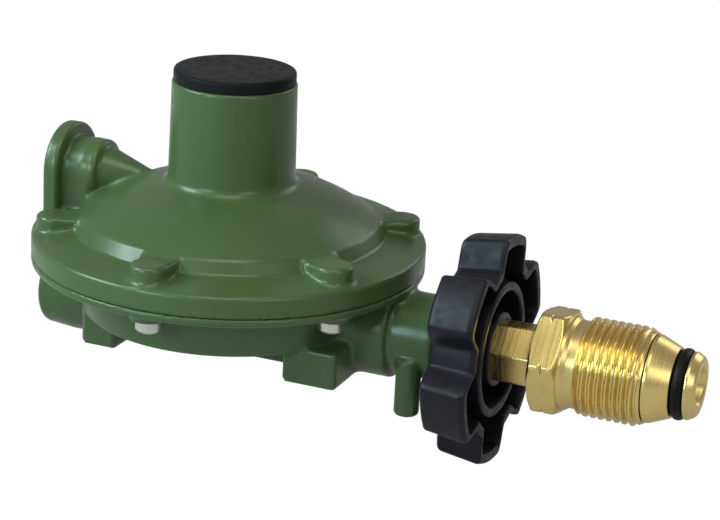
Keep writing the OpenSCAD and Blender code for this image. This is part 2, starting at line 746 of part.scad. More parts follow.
// Bell-crank lever between the pusher and the valve stem.
module lever() color(steel) translate([lever_x, 0, lever_z]) rotate([90, 0, 0]) difference() {
    union() {
        translate([0, 0, -lever_w / 2]) {
            cylinder(h = lever_w, d = lever_eye_d);
            translate([0, -lever_t / 2, 0]) cube([lever_arm, lever_t, lever_w]);
            translate([lever_arm, 0, 0]) cylinder(h = lever_w, d = lever_tip_d);
        }
        translate([0, 0, -fork_w / 2 + 1.5]) {
            translate([-lever_t / 2, -lever_drop, 0])
                cube([lever_t, lever_drop, fork_w - 3]);
            translate([0, -lever_drop, 0]) cylinder(h = fork_w - 3, d = lever_tip_d);
        }
    }
    translate([0, 0, -lever_w]) cylinder(h = 2 * lever_w, d = pin_d + 2 * run_gap);
}

module lever_pin() color(steel) translate([lever_x, cheek_out, lever_z]) rotate([90, 0, 0])
    cylinder(h = 2 * cheek_out, d = pin_d - 2 * seat_gap);

// ---- diaphragm, plate and relief valve -----------------------------------------------

loop_gap = 1.2;        // flat rubber between the plate's rim and the loop
loop_r = (chamber_d / 2 - loose_gap - plate_d / 2 - loop_gap) / 2;
// Rubber diaphragm: a clamped rim, one rolled loop and a flat centre.
module diaphragm() color(rubber) rotate_extrude() {
    loop_x = chamber_d / 2 - loop_r - loose_gap;
    hole_r = pusher_d / 2 + 2 * run_gap;
    polygon(concat(
        [[hole_r, mid_z], [loop_x - loop_r + diaphragm_t, mid_z]],
        arc([loop_x, mid_z + 0.9], loop_r - diaphragm_t, 180, 20, 8),
        [[chamber_d / 2 - loose_gap, rim_z], [diaphragm_d / 2, rim_z],
         [diaphragm_d / 2, joint_z],
         [chamber_d / 2 - 0.6, joint_z]],
        arc([loop_x, mid_z + 0.9], loop_r, 20, 165, 8),
        [[loop_x - loop_r, plate_z], [hole_r, plate_z]]));
}

// Steel plate that spreads the spring's force over the diaphragm.
module diaphragm_plate() color(steel) rotate_extrude() {
    hole_r = pusher_d / 2 + run_gap;
    rim_r = plate_d / 2;
    polygon([[hole_r, plate_z + run_gap], [rim_r, plate_z + run_gap],
             [rim_r, plate_top_z + 1.4], [rim_r - plate_t, plate_top_z + 1.4],
             [rim_r - plate_t, plate_top_z], [hole_r, plate_top_z]]);
}

// Pusher: hooks the lever's tip, carries the relief seat and passes through the plate.
module pusher_post() color(yellow_brass) difference() {
    union() {
        block([-pusher_w / 2, -pusher_depth / 2, lever_z - slot_half - pusher_lip],
              [pusher_w / 2, pusher_depth / 2, lever_z + slot_half + overlap / 2]);
        translate([0, 0, lever_z + slot_half])
            cylinder(h = pusher_flange_t, d = pusher_flange_d);
        translate([0, 0, lever_z + slot_half])
            cylinder(h = plate_top_z + pusher_len - lever_z - slot_half, d = pusher_d);
    }
    block([-pusher_w, -lever_w / 2 - loose_gap, lever_z - slot_half],
          [pusher_w, lever_w / 2 + loose_gap, lever_z + slot_half]);
}

// Rubber washer between the pusher's flange and the diaphragm.
module relief_seat() color([0.25, 0.12, 0.10]) translate([0, 0, flange_z]) difference() {
    cylinder(h = relief_t, d = pusher_flange_d - 1);
    translate([0, 0, -overlap]) cylinder(h = relief_t + 2 * overlap, d = pusher_d + 2 * seat_gap);
}

// Nut and washer in one, on the pusher's stem above the relief spring.
module relief_nut() color(zinc) translate([0, 0, nut_z]) difference() {
    union() {
        cylinder(h = 0.8, d = relief_spring_d + 1);
        cylinder(h = relief_nut_h, r = hex_r(relief_nut_af), $fn = 6);
    }
    translate([0, 0, -overlap])
        cylinder(h = relief_nut_h + 2 * overlap, d = pusher_d + 2 * seat_gap);
}

module relief_spring() color(steel) translate([0, 0, plate_top_z + run_gap])
    coil(relief_spring_d, relief_wire, relief_turns, nut_z - plate_top_z - 2 * run_gap);

module main_spring() color(steel) translate([0, 0, plate_top_z + run_gap])
    coil(spring_d, spring_wire, spring_turns, spring_seat_z - plate_top_z - 2 * run_gap);

// ---- spring adjuster and closing cap -------------------------------------------------

module upper_spring_seat() color(zinc) translate([0, 0, spring_seat_z]) difference() {
    union() {
        cylinder(h = spring_seat_t, d = tower_bore_d - 2);
        translate([0, 0, -spigot_drop])
            cylinder(h = spigot_drop + overlap, d = spring_d - 2 * spring_wire - 1);
    }
    translate([0, 0, -spigot_drop - overlap])
        cylinder(h = spigot_drop + spring_seat_t + 2 * overlap, d = seat_hole_d);
}

// Threaded ring with a hexagon socket: turning it down loads the main spring.
module adjusting_screw() color(plastic) translate([0, 0, adjuster_z]) difference() {
    cylinder(h = adjuster_h, d = tower_bore_d - 2 * run_gap);
    translate([0, 0, -overlap])
        cylinder(h = adjuster_h + 2 * overlap, r = hex_r(adjuster_af), $fn = 6);
}

// Screwed cap that closes the tower.
module closing_cap() color(plastic) difference() {
    r = cap_d / 2;
    rotate_extrude() polygon(concat(
        [[0, tower_z - cap_plug_len], [tower_bore_d / 2 - run_gap, tower_z - cap_plug_len],
         [tower_bore_d / 2 - run_gap, tower_z + run_gap], [r - 0.2, tower_z + run_gap],
         [r, tower_z + 0.3]],
        arc([r - edge_round, tower_z + cap_h - edge_round], edge_round, 0, 90, 5),
        [[0, tower_z + cap_h]]));
    translate([0, 0, tower_z - cap_plug_len - overlap])
        cylinder(h = cap_plug_len + overlap - 1, r = hex_r(cap_recess_af), $fn = 6);
}

// Gasket in the counterbore of the tower's rim.
module cap_gasket() color(rubber) translate([0, 0, tower_z - gasket_h + run_gap]) difference() {
    cylinder(h = gasket_h - 2 * run_gap, d = gasket_seat_d - 2 * run_gap);
    translate([0, 0, -overlap]) cylinder(h = gasket_h + 2 * overlap, d = tower_bore_d + 2 * run_gap);
}

// ---- cylinder connector --------------------------------------------------------------

// Flat share of a hollow's floor, and how much smaller the handwheel's back is all round.
hollow_floor = 0.35;
wheel_draft = 1.2;
// Radius of the handwheel's outline at an angle from the middle of a lobe.
function lobe_r(a, inset) =
    let (step = 360 / lobe_count,
         from_hollow = abs(abs(a % step) - step / 2),
         half = hollow_share * step / 2,
         t = min(1, max(0, from_hollow / half - hollow_floor) / (1 - hollow_floor)))
    wheel_d / 2 - inset - lobe_depth * (1 + cos(180 * t)) / 2;
module lobed(inset) {
    steps = lobe_count * 20;
    rotate(180 - lobe_turn) polygon([for (i = [0 : steps - 1]) let (a = i * 360 / steps)
        lobe_r(a, inset) * [cos(a), sin(a)]]);
}

wheel_step = (wheel_w - 2 * edge_round) / 3;
// Moulded handwheel: a lobed rim, an inner ring and a hub round the nut's neck.
module handwheel() color(plastic) along_x(wheel_x) difference() {
    union() {
        linear_extrude(edge_round) lobed(wheel_draft + edge_round * 0.6);
        // the rim widens from its back to its front in steps
        for (i = [0 : 2]) translate([0, 0, edge_round + i * wheel_step])
            linear_extrude(wheel_step) lobed(wheel_draft * (2 - i) / 3);
        translate([0, 0, wheel_w - edge_round]) linear_extrude(edge_round)
            lobed(edge_round * 0.5);
    }
    difference() {
        translate([0, 0, wheel_back_t]) linear_extrude(wheel_w) lobed(wheel_wall);
        difference() {
            cylinder(h = wheel_w - 0.5, d = wheel_ring_d);
            cylinder(h = 2 * wheel_w, d = wheel_ring_d - 4);
        }
        cylinder(h = wheel_w - 1, d = wheel_hub_d);
    }
    rotate(hex_turn) translate([0, 0, -overlap])
        cylinder(h = wheel_w + 2 * overlap, r = hex_r(neck_af + 2 * seat_gap), $fn = 6);
}

// Brass nut: neck, hexagon with marks for a left-hand thread, groove and thread.
module pol_nut() color(yellow_brass) difference() {
    neck_start_x = wheel_x + 1;
    union() {
        along_x(neck_start_x) rotate(hex_turn)
            cylinder(h = hex_x - neck_start_x + overlap, r = hex_r(neck_af), $fn = 6);
        intersection() {
            along_x(hex_x) rotate(hex_turn) cylinder(h = hex_len, r = hex_r(hex_af), $fn = 6);
            turned_x([[hex_x, 0], [hex_x, hex_af / 2 + 0.4], [hex_x + 0.6, hex_r(hex_af)],
                      [hex_x + hex_len - 0.6, hex_r(hex_af)],
                      [hex_x + hex_len, hex_af / 2 + 0.4], [hex_x + hex_len, 0]]);
        }
        turned_x([[hex_x + hex_len - overlap, 0], [hex_x + hex_len - overlap, hex_af / 2 - 0.6],
                  [hex_x + hex_len + 0.4, hex_af / 2 - 0.6],
                  [hex_x + hex_len + 1.4, groove_d / 2], [thread_x, groove_d / 2],
                  [thread_x, thread_d / 2], [lead_x, thread_d / 2],
                  [nut_end_x, lead_d / 2], [nut_end_x, 0]]);
    }
    bar_x(neck_start_x - overlap, nut_end_x + overlap, shank_d + 2 * run_gap);
    // notches in the corners: the mark of a left-hand thread
    for (i = [0 : 5]) along_x(hex_x + hex_len / 2) rotate(hex_turn + i * 60)
        translate([hex_r(hex_af), 0, 0]) rotate([90, 45, 0])
            translate([-0.5, -0.5, -4]) cube([1, 1, 8]);
}

// Brass nipple: pipe thread, shank, tapered nose and seal groove.
module pol_nipple() color(yellow_brass)
    turned_x(concat(
        [[pipe_x + 1, nipple_hole_d / 2], [pipe_x + 1, pipe_d / 2 - seat_gap],
         [hub_reach + 0.6, pipe_d / 2 - seat_gap], [hub_reach + 0.6, shank_d / 2],
         [nose_x, shank_d / 2]],
        arc([nose_x + 0.5, nose_d / 2 - 0.5], 0.5, 180, 60, 3),
        [[seal_x, nose_front_d / 2], [seal_x, seal_groove_r], [tip_x, seal_groove_r],
         [tip_x, tip_d / 2 - 0.3], [tip_x + 0.3, tip_d / 2]],
        arc([nose_end_x - 1.4, tip_d / 2 - 1.6], 1.4, 80, 0, 5),
        [[nose_end_x, mouth_d / 2 + 0.4], [nose_end_x - 0.4, mouth_d / 2],
         [nose_end_x - 3, nipple_hole_d / 2]]));
seal_section = seal_w - 0.1;
seal_groove_r = seal_d / 2 - seal_section - run_gap;

// Soft nose seal.
module seal_ring() color(rubber) along_x(seal_x + seal_w / 2) rotate_extrude()
    translate([seal_d / 2 - seal_section / 2, 0]) circle(d = seal_section, $fn = 32);

bonnet();
lower_body();
casing_screws();
inlet_nozzle();
lever_pin();
vent_screen();
vent_ring();
inlet_filter();
pol_nipple();
seal_ring();
diaphragm();
diaphragm_plate();
pusher_post();
relief_seat();
relief_spring();
relief_nut();
main_spring();
upper_spring_seat();
adjusting_screw();
closing_cap();
cap_gasket();
lever();
valve_stem();
valve_disc();
pol_nut();
handwheel();
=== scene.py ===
"""Dresses a propane regulator: enamelled castings, moulded handwheel and brass connector."""
import json
import math

import bmesh
import bpy
import numpy as np
from bpy.props import FloatProperty, FloatVectorProperty, IntProperty, PointerProperty
from bpy.types import Operator, Panel, PropertyGroup
from mathutils import Matrix, Vector

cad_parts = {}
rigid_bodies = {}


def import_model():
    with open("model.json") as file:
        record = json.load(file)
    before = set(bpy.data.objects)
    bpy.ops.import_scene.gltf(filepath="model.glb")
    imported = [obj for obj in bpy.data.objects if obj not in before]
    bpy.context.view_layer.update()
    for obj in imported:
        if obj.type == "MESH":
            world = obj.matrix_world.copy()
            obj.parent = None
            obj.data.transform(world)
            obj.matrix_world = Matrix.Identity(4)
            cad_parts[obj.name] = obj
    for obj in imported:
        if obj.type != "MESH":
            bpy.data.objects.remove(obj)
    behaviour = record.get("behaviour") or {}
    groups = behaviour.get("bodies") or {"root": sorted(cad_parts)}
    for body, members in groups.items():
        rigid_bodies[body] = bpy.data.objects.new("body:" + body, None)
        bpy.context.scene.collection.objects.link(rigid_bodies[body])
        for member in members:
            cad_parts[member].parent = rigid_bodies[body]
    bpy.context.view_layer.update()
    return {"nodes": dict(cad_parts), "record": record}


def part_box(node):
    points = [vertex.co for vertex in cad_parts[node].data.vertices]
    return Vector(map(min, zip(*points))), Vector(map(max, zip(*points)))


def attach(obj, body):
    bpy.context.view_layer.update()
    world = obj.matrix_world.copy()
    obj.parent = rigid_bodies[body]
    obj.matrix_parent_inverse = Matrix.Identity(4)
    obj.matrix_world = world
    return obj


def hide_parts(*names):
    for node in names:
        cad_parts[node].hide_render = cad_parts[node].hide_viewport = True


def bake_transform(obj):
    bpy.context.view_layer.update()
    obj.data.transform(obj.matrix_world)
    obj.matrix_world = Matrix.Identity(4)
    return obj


bl_info = {
    "name": "Propane Regulator",
    "version": (1, 0, 0),
    "blender": (4, 5, 0),
    "location": "3D View > Sidebar > Regulator",
    "description": "Enamelled castings, handwheel and brass connector of a propane regulator",
    "category": "Object",
}

for startup_object in list(bpy.data.objects):
    bpy.data.objects.remove(startup_object)
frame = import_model()
NODES = frame["nodes"]
MM = 0.001

# heights and distances of the casing, in millimetres, as the frame's solids have them
JOINT_Z = 21.1
FLANGE_TOP_Z = 26.3
CROWN_Z = 27.6
DOME_Z = 30.8
TOWER_Z = 62.7
VENT_Z = 36.2
LINE_Z = 10.0
OUTLET_Z = 5.6
SCREW_CIRCLE_R = 40.4
BOSS_R = 4.4
BOSS_BOTTOM_Z = 17.6
FLANGE_R = 46
DISC_TOP_Z = 19.3       # of the diaphragm's disc
RIM_BOTTOM_Z = 20.25    # of the diaphragm's clamped rim

# mouths and bores of the two ports
OUTLET_X, OUTLET_R = -46.2, 6.6
VENT_X, VENT_R = -44.3, 4.8

# the nut's neck, on which the handwheel sits: half its width across flats, and the turn in
# degrees that it shares with the nut's hexagon
NECK_R = 6.5
NUT_TURN = -99.0

# turns of a spring that lie closed at each end
CLOSED_TURNS = 0.8


# ---- profiles and surfaces -------------------------------------------------------------

def arc(cx, cy, radius, start, stop, steps=16):
    """Points on a circle round (cx, cy) from one angle to another, in degrees."""
    a = np.radians(np.linspace(start, stop, steps + 1))
    return np.stack([cx + radius * np.cos(a), cy + radius * np.sin(a)], 1)


def rounded(corners, radii, steps=6):
    """Replaces each corner of a polyline by an arc of its radius, tangent to both sides."""
    corners = np.asarray(corners, float)
    out = []
    for i, p in enumerate(corners):
        r = radii[i] if i < len(radii) else 0
        if r <= 0 or i in (0, len(corners) - 1):
            out.append(p[None])
            continue
        a, b = corners[i - 1] - p, corners[i + 1] - p
        la, lb = np.linalg.norm(a), np.linalg.norm(b)
        a, b = a / la, b / lb
        half = math.acos(np.clip(a @ b, -1, 1)) / 2
        cut = min(r / math.tan(half), 0.49 * la, 0.49 * lb)
        t = np.linspace(0, 1, steps + 1)[:, None]
        # a quadratic curve through the two tangent points, pulled to the corner
        out.append((1 - t) ** 2 * (p + a * cut) + 2 * t * (1 - t) * p + t ** 2 * (p + b * cut))
    return np.concatenate(out)


def dense(path, step):
    """The same polyline with extra points, so that no stretch is longer than step."""
    lengths = np.linalg.norm(np.diff(path, axis=0), axis=1)
    counts = np.maximum(np.ceil(lengths / step).astype(int), 1)
    start = np.repeat(path[:-1], counts, axis=0)
    leap = np.repeat(np.diff(path, axis=0), counts, axis=0)
    place = np.concatenate([np.arange(n) / n for n in counts])[:, None]
    return np.concatenate([start + leap * place, path[-1:]])


def ramp(x, low, high):
    """Smooth step from 0 at low to 1 at high."""
    t = np.clip((x - low) / (high - low), 0, 1)
    return t * t * (3 - 2 * t)


def surface(name, points, wrap_rows=False, wrap_cols=True, crease=35):
    """A mesh of quads on a grid of points in millimetres, rows by columns, closed where asked."""
    rows, cols = points.shape[:2]
    i = np.arange(rows if wrap_rows else rows - 1)[:, None]
    j = np.arange(cols if wrap_cols else cols - 1)[None, :]
    i2, j2 = (i + 1) % rows, (j + 1) % cols
    quads = np.stack([i * cols + j, i * cols + j2, i2 * cols + j2, i2 * cols + j], -1)
    mesh = bpy.data.meshes.new(name)
    mesh.from_pydata((points.reshape(-1, 3) * MM).tolist(), [], quads.reshape(-1, 4).tolist())
    tidy_mesh(mesh, crease)
    piece = bpy.data.objects.new(name, mesh)
    bpy.context.scene.collection.objects.link(piece)
    return piece


def tidy_mesh(mesh, crease):
    """Merges doubled points, turns the faces outwards and smooths all but the real edges."""
    work = bmesh.new()
    work.from_mesh(mesh)
    bmesh.ops.remove_doubles(work, verts=work.verts, dist=1e-6)
    bmesh.ops.dissolve_degenerate(work, dist=1e-7, edges=work.edges)
    bmesh.ops.recalc_face_normals(work, faces=work.faces)
    work.to_mesh(mesh)
    work.free()
    mesh.shade_smooth()
    mesh.set_sharp_from_angle(angle=math.radians(crease))


def turned_x(path, sides, warp=None, axis_z=LINE_Z):
    """Turns a path of (x, radius) about the gas line; warp(x, r, phi) may reshape the radius.

    phi is in degrees, from straight down towards +Y.
    """
    phi = np.arange(sides) * 360.0 / sides
    x = np.repeat(path[:, :1], sides, 1)
    r = np.repeat(path[:, 1:2], sides, 1)
    phi = np.repeat(phi[None], len(path), 0)
    if warp is not None:
        r = warp(x, r, phi)
    a = np.radians(phi)
    return np.stack([x, r * np.sin(a), axis_z - r * np.cos(a)], -1)


def turned_z(path, sides, warp=None):
    """Turns a path of (radius, z) about the casing axis; warp(r, z, angle) may reshape it."""
    a = np.radians(np.arange(sides) * 360.0 / sides)
    r = np.repeat(path[:, :1], sides, 1)
    z = np.repeat(path[:, 1:2], sides, 1)
    a = np.repeat(a[None], len(path), 0)
    if warp is not None:
        r = warp(r, z, np.degrees(a))
    return np.stack([r * np.cos(a), r * np.sin(a), z], -1)


def hexagon(flats, turn, phi):
    """Radius of a hexagon of that width across flats, with a corner at the angle turn."""
    return flats / 2 / np.cos(np.radians((phi - turn) % 60 - 30))


def dress(piece, slot, *nodes):
    """Gives a piece the finish of a slot, and lets it stand for the frame's nodes."""
    piece.data.materials.clear()
    piece.data.materials.append(FINISHES[slot])
    if nodes:
        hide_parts(*nodes)


def finish_piece(piece, body, slot, *nodes):
    """Dresses a piece that rides on a body."""
    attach(piece, body)
    dress(piece, slot, *nodes)


def flexing_piece(piece, bodies, start, end, slot, *nodes):
    """Dresses a piece and bakes its place into its points; the two bodies and the two heights are
    not used.
    """
    dress(piece, slot, *nodes)
    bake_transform(piece)


def coil_height(t, wire, turns, low, high):
    """Height of the wire's middle after t turns: slow in the closed ends, even between them."""
    closed_pitch = 1.3 * wire
    climb = wire / 2 + closed_pitch * CLOSED_TURNS
    total = turns + 2 * CLOSED_TURNS
    return np.interp(t, [0, CLOSED_TURNS, total - CLOSED_TURNS, total],
                     [low + wire / 2, low + climb, high - climb, high - wire / 2])


def coil(name, outside, wire, turns, low, high, first, last):
    """A compression spring about the casing's axis, from its first to its last turn here.

    A circle as wide as the wire is carried round while its middle climbs.
    """
    steps_a_turn, sides = 30, 14
    t = np.linspace(first, last, int((last - first) * steps_a_turn) + 2)
    t = np.concatenate([t[:1], t, t[-1:]])
    thick = np.full((len(t), 1), wire / 2)
    thick[[0, -1]] = 0
    a = np.radians(np.arange(sides) * 360 / sides)
    r = (outside - wire) / 2 + thick * np.cos(a)
    turn = 2 * np.pi * t[:, None]
    z = coil_height(t, wire, turns, low, high)[:, None] + thick * np.sin(a)
    return surface(name, np.stack([r * np.cos(turn), r * np.sin(turn), z], -1), crease=60)


# ---- distances to solids, for the castings ---------------------------------------------

def outline_distance(q, outline):
    """Signed distance of points to a closed outline in a plane, negative inside it."""
    best = np.full(len(q), 1e12)
    inside = np.zeros(len(q), bool)
    nxt = np.roll(outline, -1, axis=0)
    for a, b in zip(outline, nxt):
        edge, rel = b - a, q - a
        span = edge @ edge
        if span < 1e-12:
            continue
        t = np.clip(rel @ edge / span, 0, 1)
        gap = rel - t[:, None] * edge
        best = np.minimum(best, (gap ** 2).sum(1))
        crosses = (a[1] > q[:, 1]) != (b[1] > q[:, 1])
        if a[1] != b[1]:
            inside ^= crosses & (q[:, 0] < (q[:, 1] - a[1]) / (b[1] - a[1]) * edge[0] + a[0])
    return np.sqrt(best) * np.where(inside, -1, 1)


def both(a, b, k=0.0):
    """Union of two distances, blended by a fillet of about k."""
    if k <= 0:
        return np.minimum(a, b)
    h = np.maximum(k - np.abs(a - b), 0) / k
    return np.minimum(a, b) - h * h * k / 4


def without(a, b, k=0.3):
    """The first solid with the second cut out of it, its edges broken by about k."""
    return -both(-a, b, k)


def crossing(sides, r):
    """Distance to what lies within all its sides, from those to each side, edges rounded."""
    q = sides + r
    return np.linalg.norm(np.maximum(q, 0), axis=1) + np.minimum(q.max(1), 0) - r


def block(p, low, high, r=0.0):
    """Distance to a box with rounded edges."""
    low, high = np.asarray(low, float), np.asarray(high, float)
    return crossing(np.abs(p - (low + high) / 2) - (high - low) / 2, r)


def bar(along, across, start, stop, radius, r=0.0):
    """Distance to a round bar between two places on its axis, with rounded rims."""
    ends = np.abs(along - (start + stop) / 2) - (stop - start) / 2
    return crossing(np.stack([ends, across - radius], 1), r)


def at_nearest_screw(p):
    """The points in the frame of the nearest casing screw: outwards, sideways, up."""
    angle = np.degrees(np.arctan2(p[:, 1], p[:, 0])) % 60 - 30
    rho = np.hypot(p[:, 0], p[:, 1])
    a = np.radians(angle)
    return np.stack([rho * np.cos(a) - SCREW_CIRCLE_R, rho * np.sin(a), p[:, 2]], 1)


def bonnet_outlines():
    """The bonnet's outer outline and that of its inside, as (radius, height)."""
    # the shoulder is an arc from the dome's edge up to where its slope runs on to the tower
    slope, edge, shoulder = 13.5, 35.0, 50.0
    dome_r, tower_r, fillet = 34.6, 14.8, 2.5
    sine, cosine = math.sin(math.radians(slope)), math.cos(math.radians(slope))
    rise = math.tan(math.radians(slope))
    cx = dome_r - shoulder * math.sin(math.radians(edge))
    cz = DOME_Z - shoulder * math.cos(math.radians(edge))
    fillet_z = cz + shoulder * cosine + fillet * cosine \
        + (cx + shoulder * sine - tower_r - fillet * (1 - sine)) * rise
    outer = np.concatenate([
        [[0, JOINT_Z], [FLANGE_R, JOINT_Z]], arc(FLANGE_R - 1, FLANGE_TOP_Z - 1, 1, 0, 85),
        arc(37, CROWN_Z + 1, 1, -92, -165), arc(cx, cz, shoulder, 90 - edge, 90 - slope, 40),
        arc(tower_r + fillet, fillet_z, fillet, 270 - slope, 180),
        rounded([[tower_r, 40.0], [14.4, TOWER_Z], [0, TOWER_Z]], [0, 0.5, 0])])
    # the same form a wall further in, then the tower's bore and its wider mouth
    wall, chamber_r, bore_r, mouth_r, mouth_z, past = 2.8, 31.5, 12, 13.05, 61.3, 70
    inner = shoulder - wall
    bore_z = cz + inner * cosine + (cx + inner * sine - bore_r) * rise
    low = math.degrees(math.asin((chamber_r - cx) / inner))
    inside = np.concatenate([
        [[0, JOINT_Z - 5], [chamber_r, JOINT_Z - 5]],
        arc(cx, cz, inner, 90 - low, 90 - slope, 30),
        [[bore_r, bore_z], [bore_r, mouth_z], [mouth_r, mouth_z], [mouth_r, past], [0, past]]])
    return outer, inside


def bonnet_distance(p):
    """Dome, flange and tower, six bosses and the vent, joined by fillets, and hollowed."""
    outer, inside = bonnet_outlines()
    rz = np.stack([np.hypot(p[:, 0], p[:, 1]), p[:, 2]], 1)
    shell = outline_distance(rz, outer)
    s = at_nearest_screw(p)
    boss = bar(s[:, 2], np.hypot(s[:, 0], s[:, 1]), JOINT_Z + 1, 30.5, BOSS_R, 1.0)
    pad = block(s, [-6.8, -BOSS_R, JOINT_Z + 1], [0, BOSS_R, 30.3], 0.9)
    # the vent's arched plate, its socket, neck and web
    plate_r, plate_foot_z, plate_x, half_plate = 10.35, 25.3, -42.45, 1.85
    socket_r, socket_end, narrowing = 7.25, -32.4, 0.351
    x, z = p[:, 0], p[:, 2] - VENT_Z
    arch = np.maximum(np.hypot(p[:, 1], np.maximum(z, 0)) - plate_r, plate_foot_z - p[:, 2])
    plate = crossing(np.stack([arch, np.abs(x - plate_x) - half_plate], 1), 0.8)
    across = np.hypot(p[:, 1], z)
    socket = bar(x, across, -41.6, socket_end, socket_r, 1.0)
    neck = bar(x, across + (x - socket_end) * narrowing, -36, -19, 5.8, 0.2)
    web = block(p, [-43.3, -socket_r, 26.6], [-33.4, socket_r, VENT_Z], 1.0)
    vent = both(both(both(socket, web, 0.2), plate, 0.7), neck, 0.8)
    for solid, fillet in ((both(boss, pad, 0.2), 1.4), (vent, 1.2)):
        shell = both(shell, solid, fillet)
    # its inside, the vent's bore and the screen's seat, and the breathing hole below its axis
    for hollow, edge in ((outline_distance(rz, inside), 0.3),
                         (bar(x, across, -50, -37.7, VENT_R), 0.6),
                         (bar(x, across, -40, -36.3, 4.3), 0.1),
                         (bar(x, np.hypot(p[:, 1], z + 2.6), -40, -23, 2.0), 0.2)):
        shell = without(shell, hollow, edge)
    return shell


def body_distance(p):
    """Drum, flange, bosses, gas line, feet and post of the lower casting, and its ports."""
    drum_r, foot_top_z, boss_top_z = 36.3, 8.7, 20
    drum = np.concatenate([
        [[0, 7.8]], arc(33, 8.8, 1, -90, -5), [[drum_r, 17.5]],
        arc(drum_r + 1, 17.5, 1, 175, 100), arc(FLANGE_R - 1, 20.1, 1, -85, 0),
        [[FLANGE_R, JOINT_Z], [0, JOINT_Z]]])
    x, rho = p[:, 0], np.hypot(p[:, 0], p[:, 1])
    shell = outline_distance(np.stack([rho, p[:, 2]], 1), drum)
    s = at_nearest_screw(p)
    boss = bar(s[:, 2], np.hypot(s[:, 0], s[:, 1]), BOSS_BOTTOM_Z, boss_top_z, BOSS_R, 0.5)
    web = block(s, [-7, -BOSS_R, BOSS_BOTTOM_Z], [0, BOSS_R, boss_top_z], 0.5)
    across = np.hypot(p[:, 1], p[:, 2] - LINE_Z)
    collar = bar(x, across, 33, 44, 11, 1.0)
    hub = bar(x, across, 34, 55, 9.7, 1.0)
    channel = block(p, [-30, -9, 0], [33, 9, 10.8], 0.8)
    foot_in = block(p, [23, -19.3, 0], [36, 19.3, foot_top_z], 0.7)
    foot_out = block(p, [-27.8, -20.5, 0], [-19, 20.5, foot_top_z], 0.7)
    post = bar(p[:, 2], np.hypot(x - 49.4, p[:, 1] + 8), -6.7, 7, 2.9, 1.0)
    # the outlet's boss narrows towards its mouth
    taper_start, taper_length, draft = -38.8, 7.4, 0.6
    low = np.hypot(p[:, 1], p[:, 2] - OUTLET_Z)
    taper = np.clip((taper_start - x) / taper_length, 0, 1) * draft
    outlet = bar(x, low + taper, OUTLET_X, -28, 10, 1.0)
    for solid, fillet in ((both(boss, web, 0.2), 1.2), (both(collar, hub, 0.8), 1.8),
                          (channel, 1.2), (foot_in, 1.2), (foot_out, 1.2), (post, 1.4),
                          (outlet, 1.6)):
        shell = both(shell, solid, fillet)
    # the diaphragm's seat, the inlet, the outlet and its drilling
    for hollow, edge in ((bar(p[:, 2], rho, 20.3, 30, 37.55), 0.1),
                         (bar(x, across, 43, 70, 6.6), 0.4),
                         (bar(x, low, -60, -36.2, OUTLET_R), 0.9),
                         (bar(x, low, -60, -25, 4.0), 0.3)):
        shell = without(shell, hollow, edge)
    return shell


def cast_piece(name, node, distance, voxel, hidden):
    """A casting: the frame's solid, remeshed evenly, its skin drawn onto the distance's zero.

    Each point goes along the distance's slope by the distance itself, a few times over, so
    edges and inner corners take the radii of a casting. Points for which hidden is true stay.
    """
    mesh = NODES[node].data.copy()
    work = bmesh.new()
    work.from_mesh(mesh)
    bmesh.ops.remove_doubles(work, verts=work.verts, dist=1e-6)
    work.to_mesh(mesh)
    work.free()
    piece = bpy.data.objects.new(name, mesh)
    bpy.context.scene.collection.objects.link(piece)
    remesh = piece.modifiers.new("even mesh", "REMESH")
    remesh.mode = "VOXEL"
    remesh.voxel_size = voxel * MM
    smooth = piece.modifiers.new("smooth", "SMOOTH")
    smooth.factor = 0.5
    smooth.iterations = 3
    graph = bpy.context.evaluated_depsgraph_get()
    even = bpy.data.meshes.new_from_object(piece.evaluated_get(graph))
    piece.modifiers.clear()
    piece.data = even
    even.name = name
    flat = np.empty(len(even.vertices) * 3, np.float32)
    even.vertices.foreach_get("co", flat)
    start = flat.reshape(-1, 3).astype(float) / MM
    p = start
    step, flattest, leap, reach = 0.02, 0.3, 0.4, 1.2
    for _ in range(3):
        d = distance(p)
        slope = np.stack([distance(p + step * axis) - d for axis in np.eye(3)], 1) / step
        slope /= np.maximum(np.linalg.norm(slope, axis=1), flattest)[:, None]
        p = p - slope * np.clip(d, -leap, leap)[:, None]
    p = start + np.clip(p - start, -reach, reach)
    p = np.where(hidden(start)[:, None], start, p)
    even.vertices.foreach_set("co", (p * MM).astype(np.float32).ravel())
    even.update()
    even.shade_smooth()
    return piece


def in_tower(p):
    """Whether points are in the tower's bore, which stays as the frame's solid has it."""
    bore_r, bore_top_z = 12.6, 62.0
    return (np.hypot(p[:, 0], p[:, 1]) < bore_r) & (p[:, 2] < bore_top_z)


def in_gas_chamber(p):
    """Whether points are in the gas chamber or the bores of the gas line, which stay as well."""
    chamber_r, chamber_z, chamber_top_z = 31.4, 8.6, 22.4
    bore_y, bore_x, bore_z = 6.6, 35, 3.6
    z = p[:, 2]
    chamber = (np.hypot(p[:, 0], p[:, 1]) < chamber_r) & (z > chamber_z) & (z < chamber_top_z)
    bores = (np.abs(p[:, 1]) < bore_y) & (np.abs(p[:, 0]) < bore_x) & (z > bore_z)
    return chamber | bores


# ---- finishes --------------------------------------------------------------------------

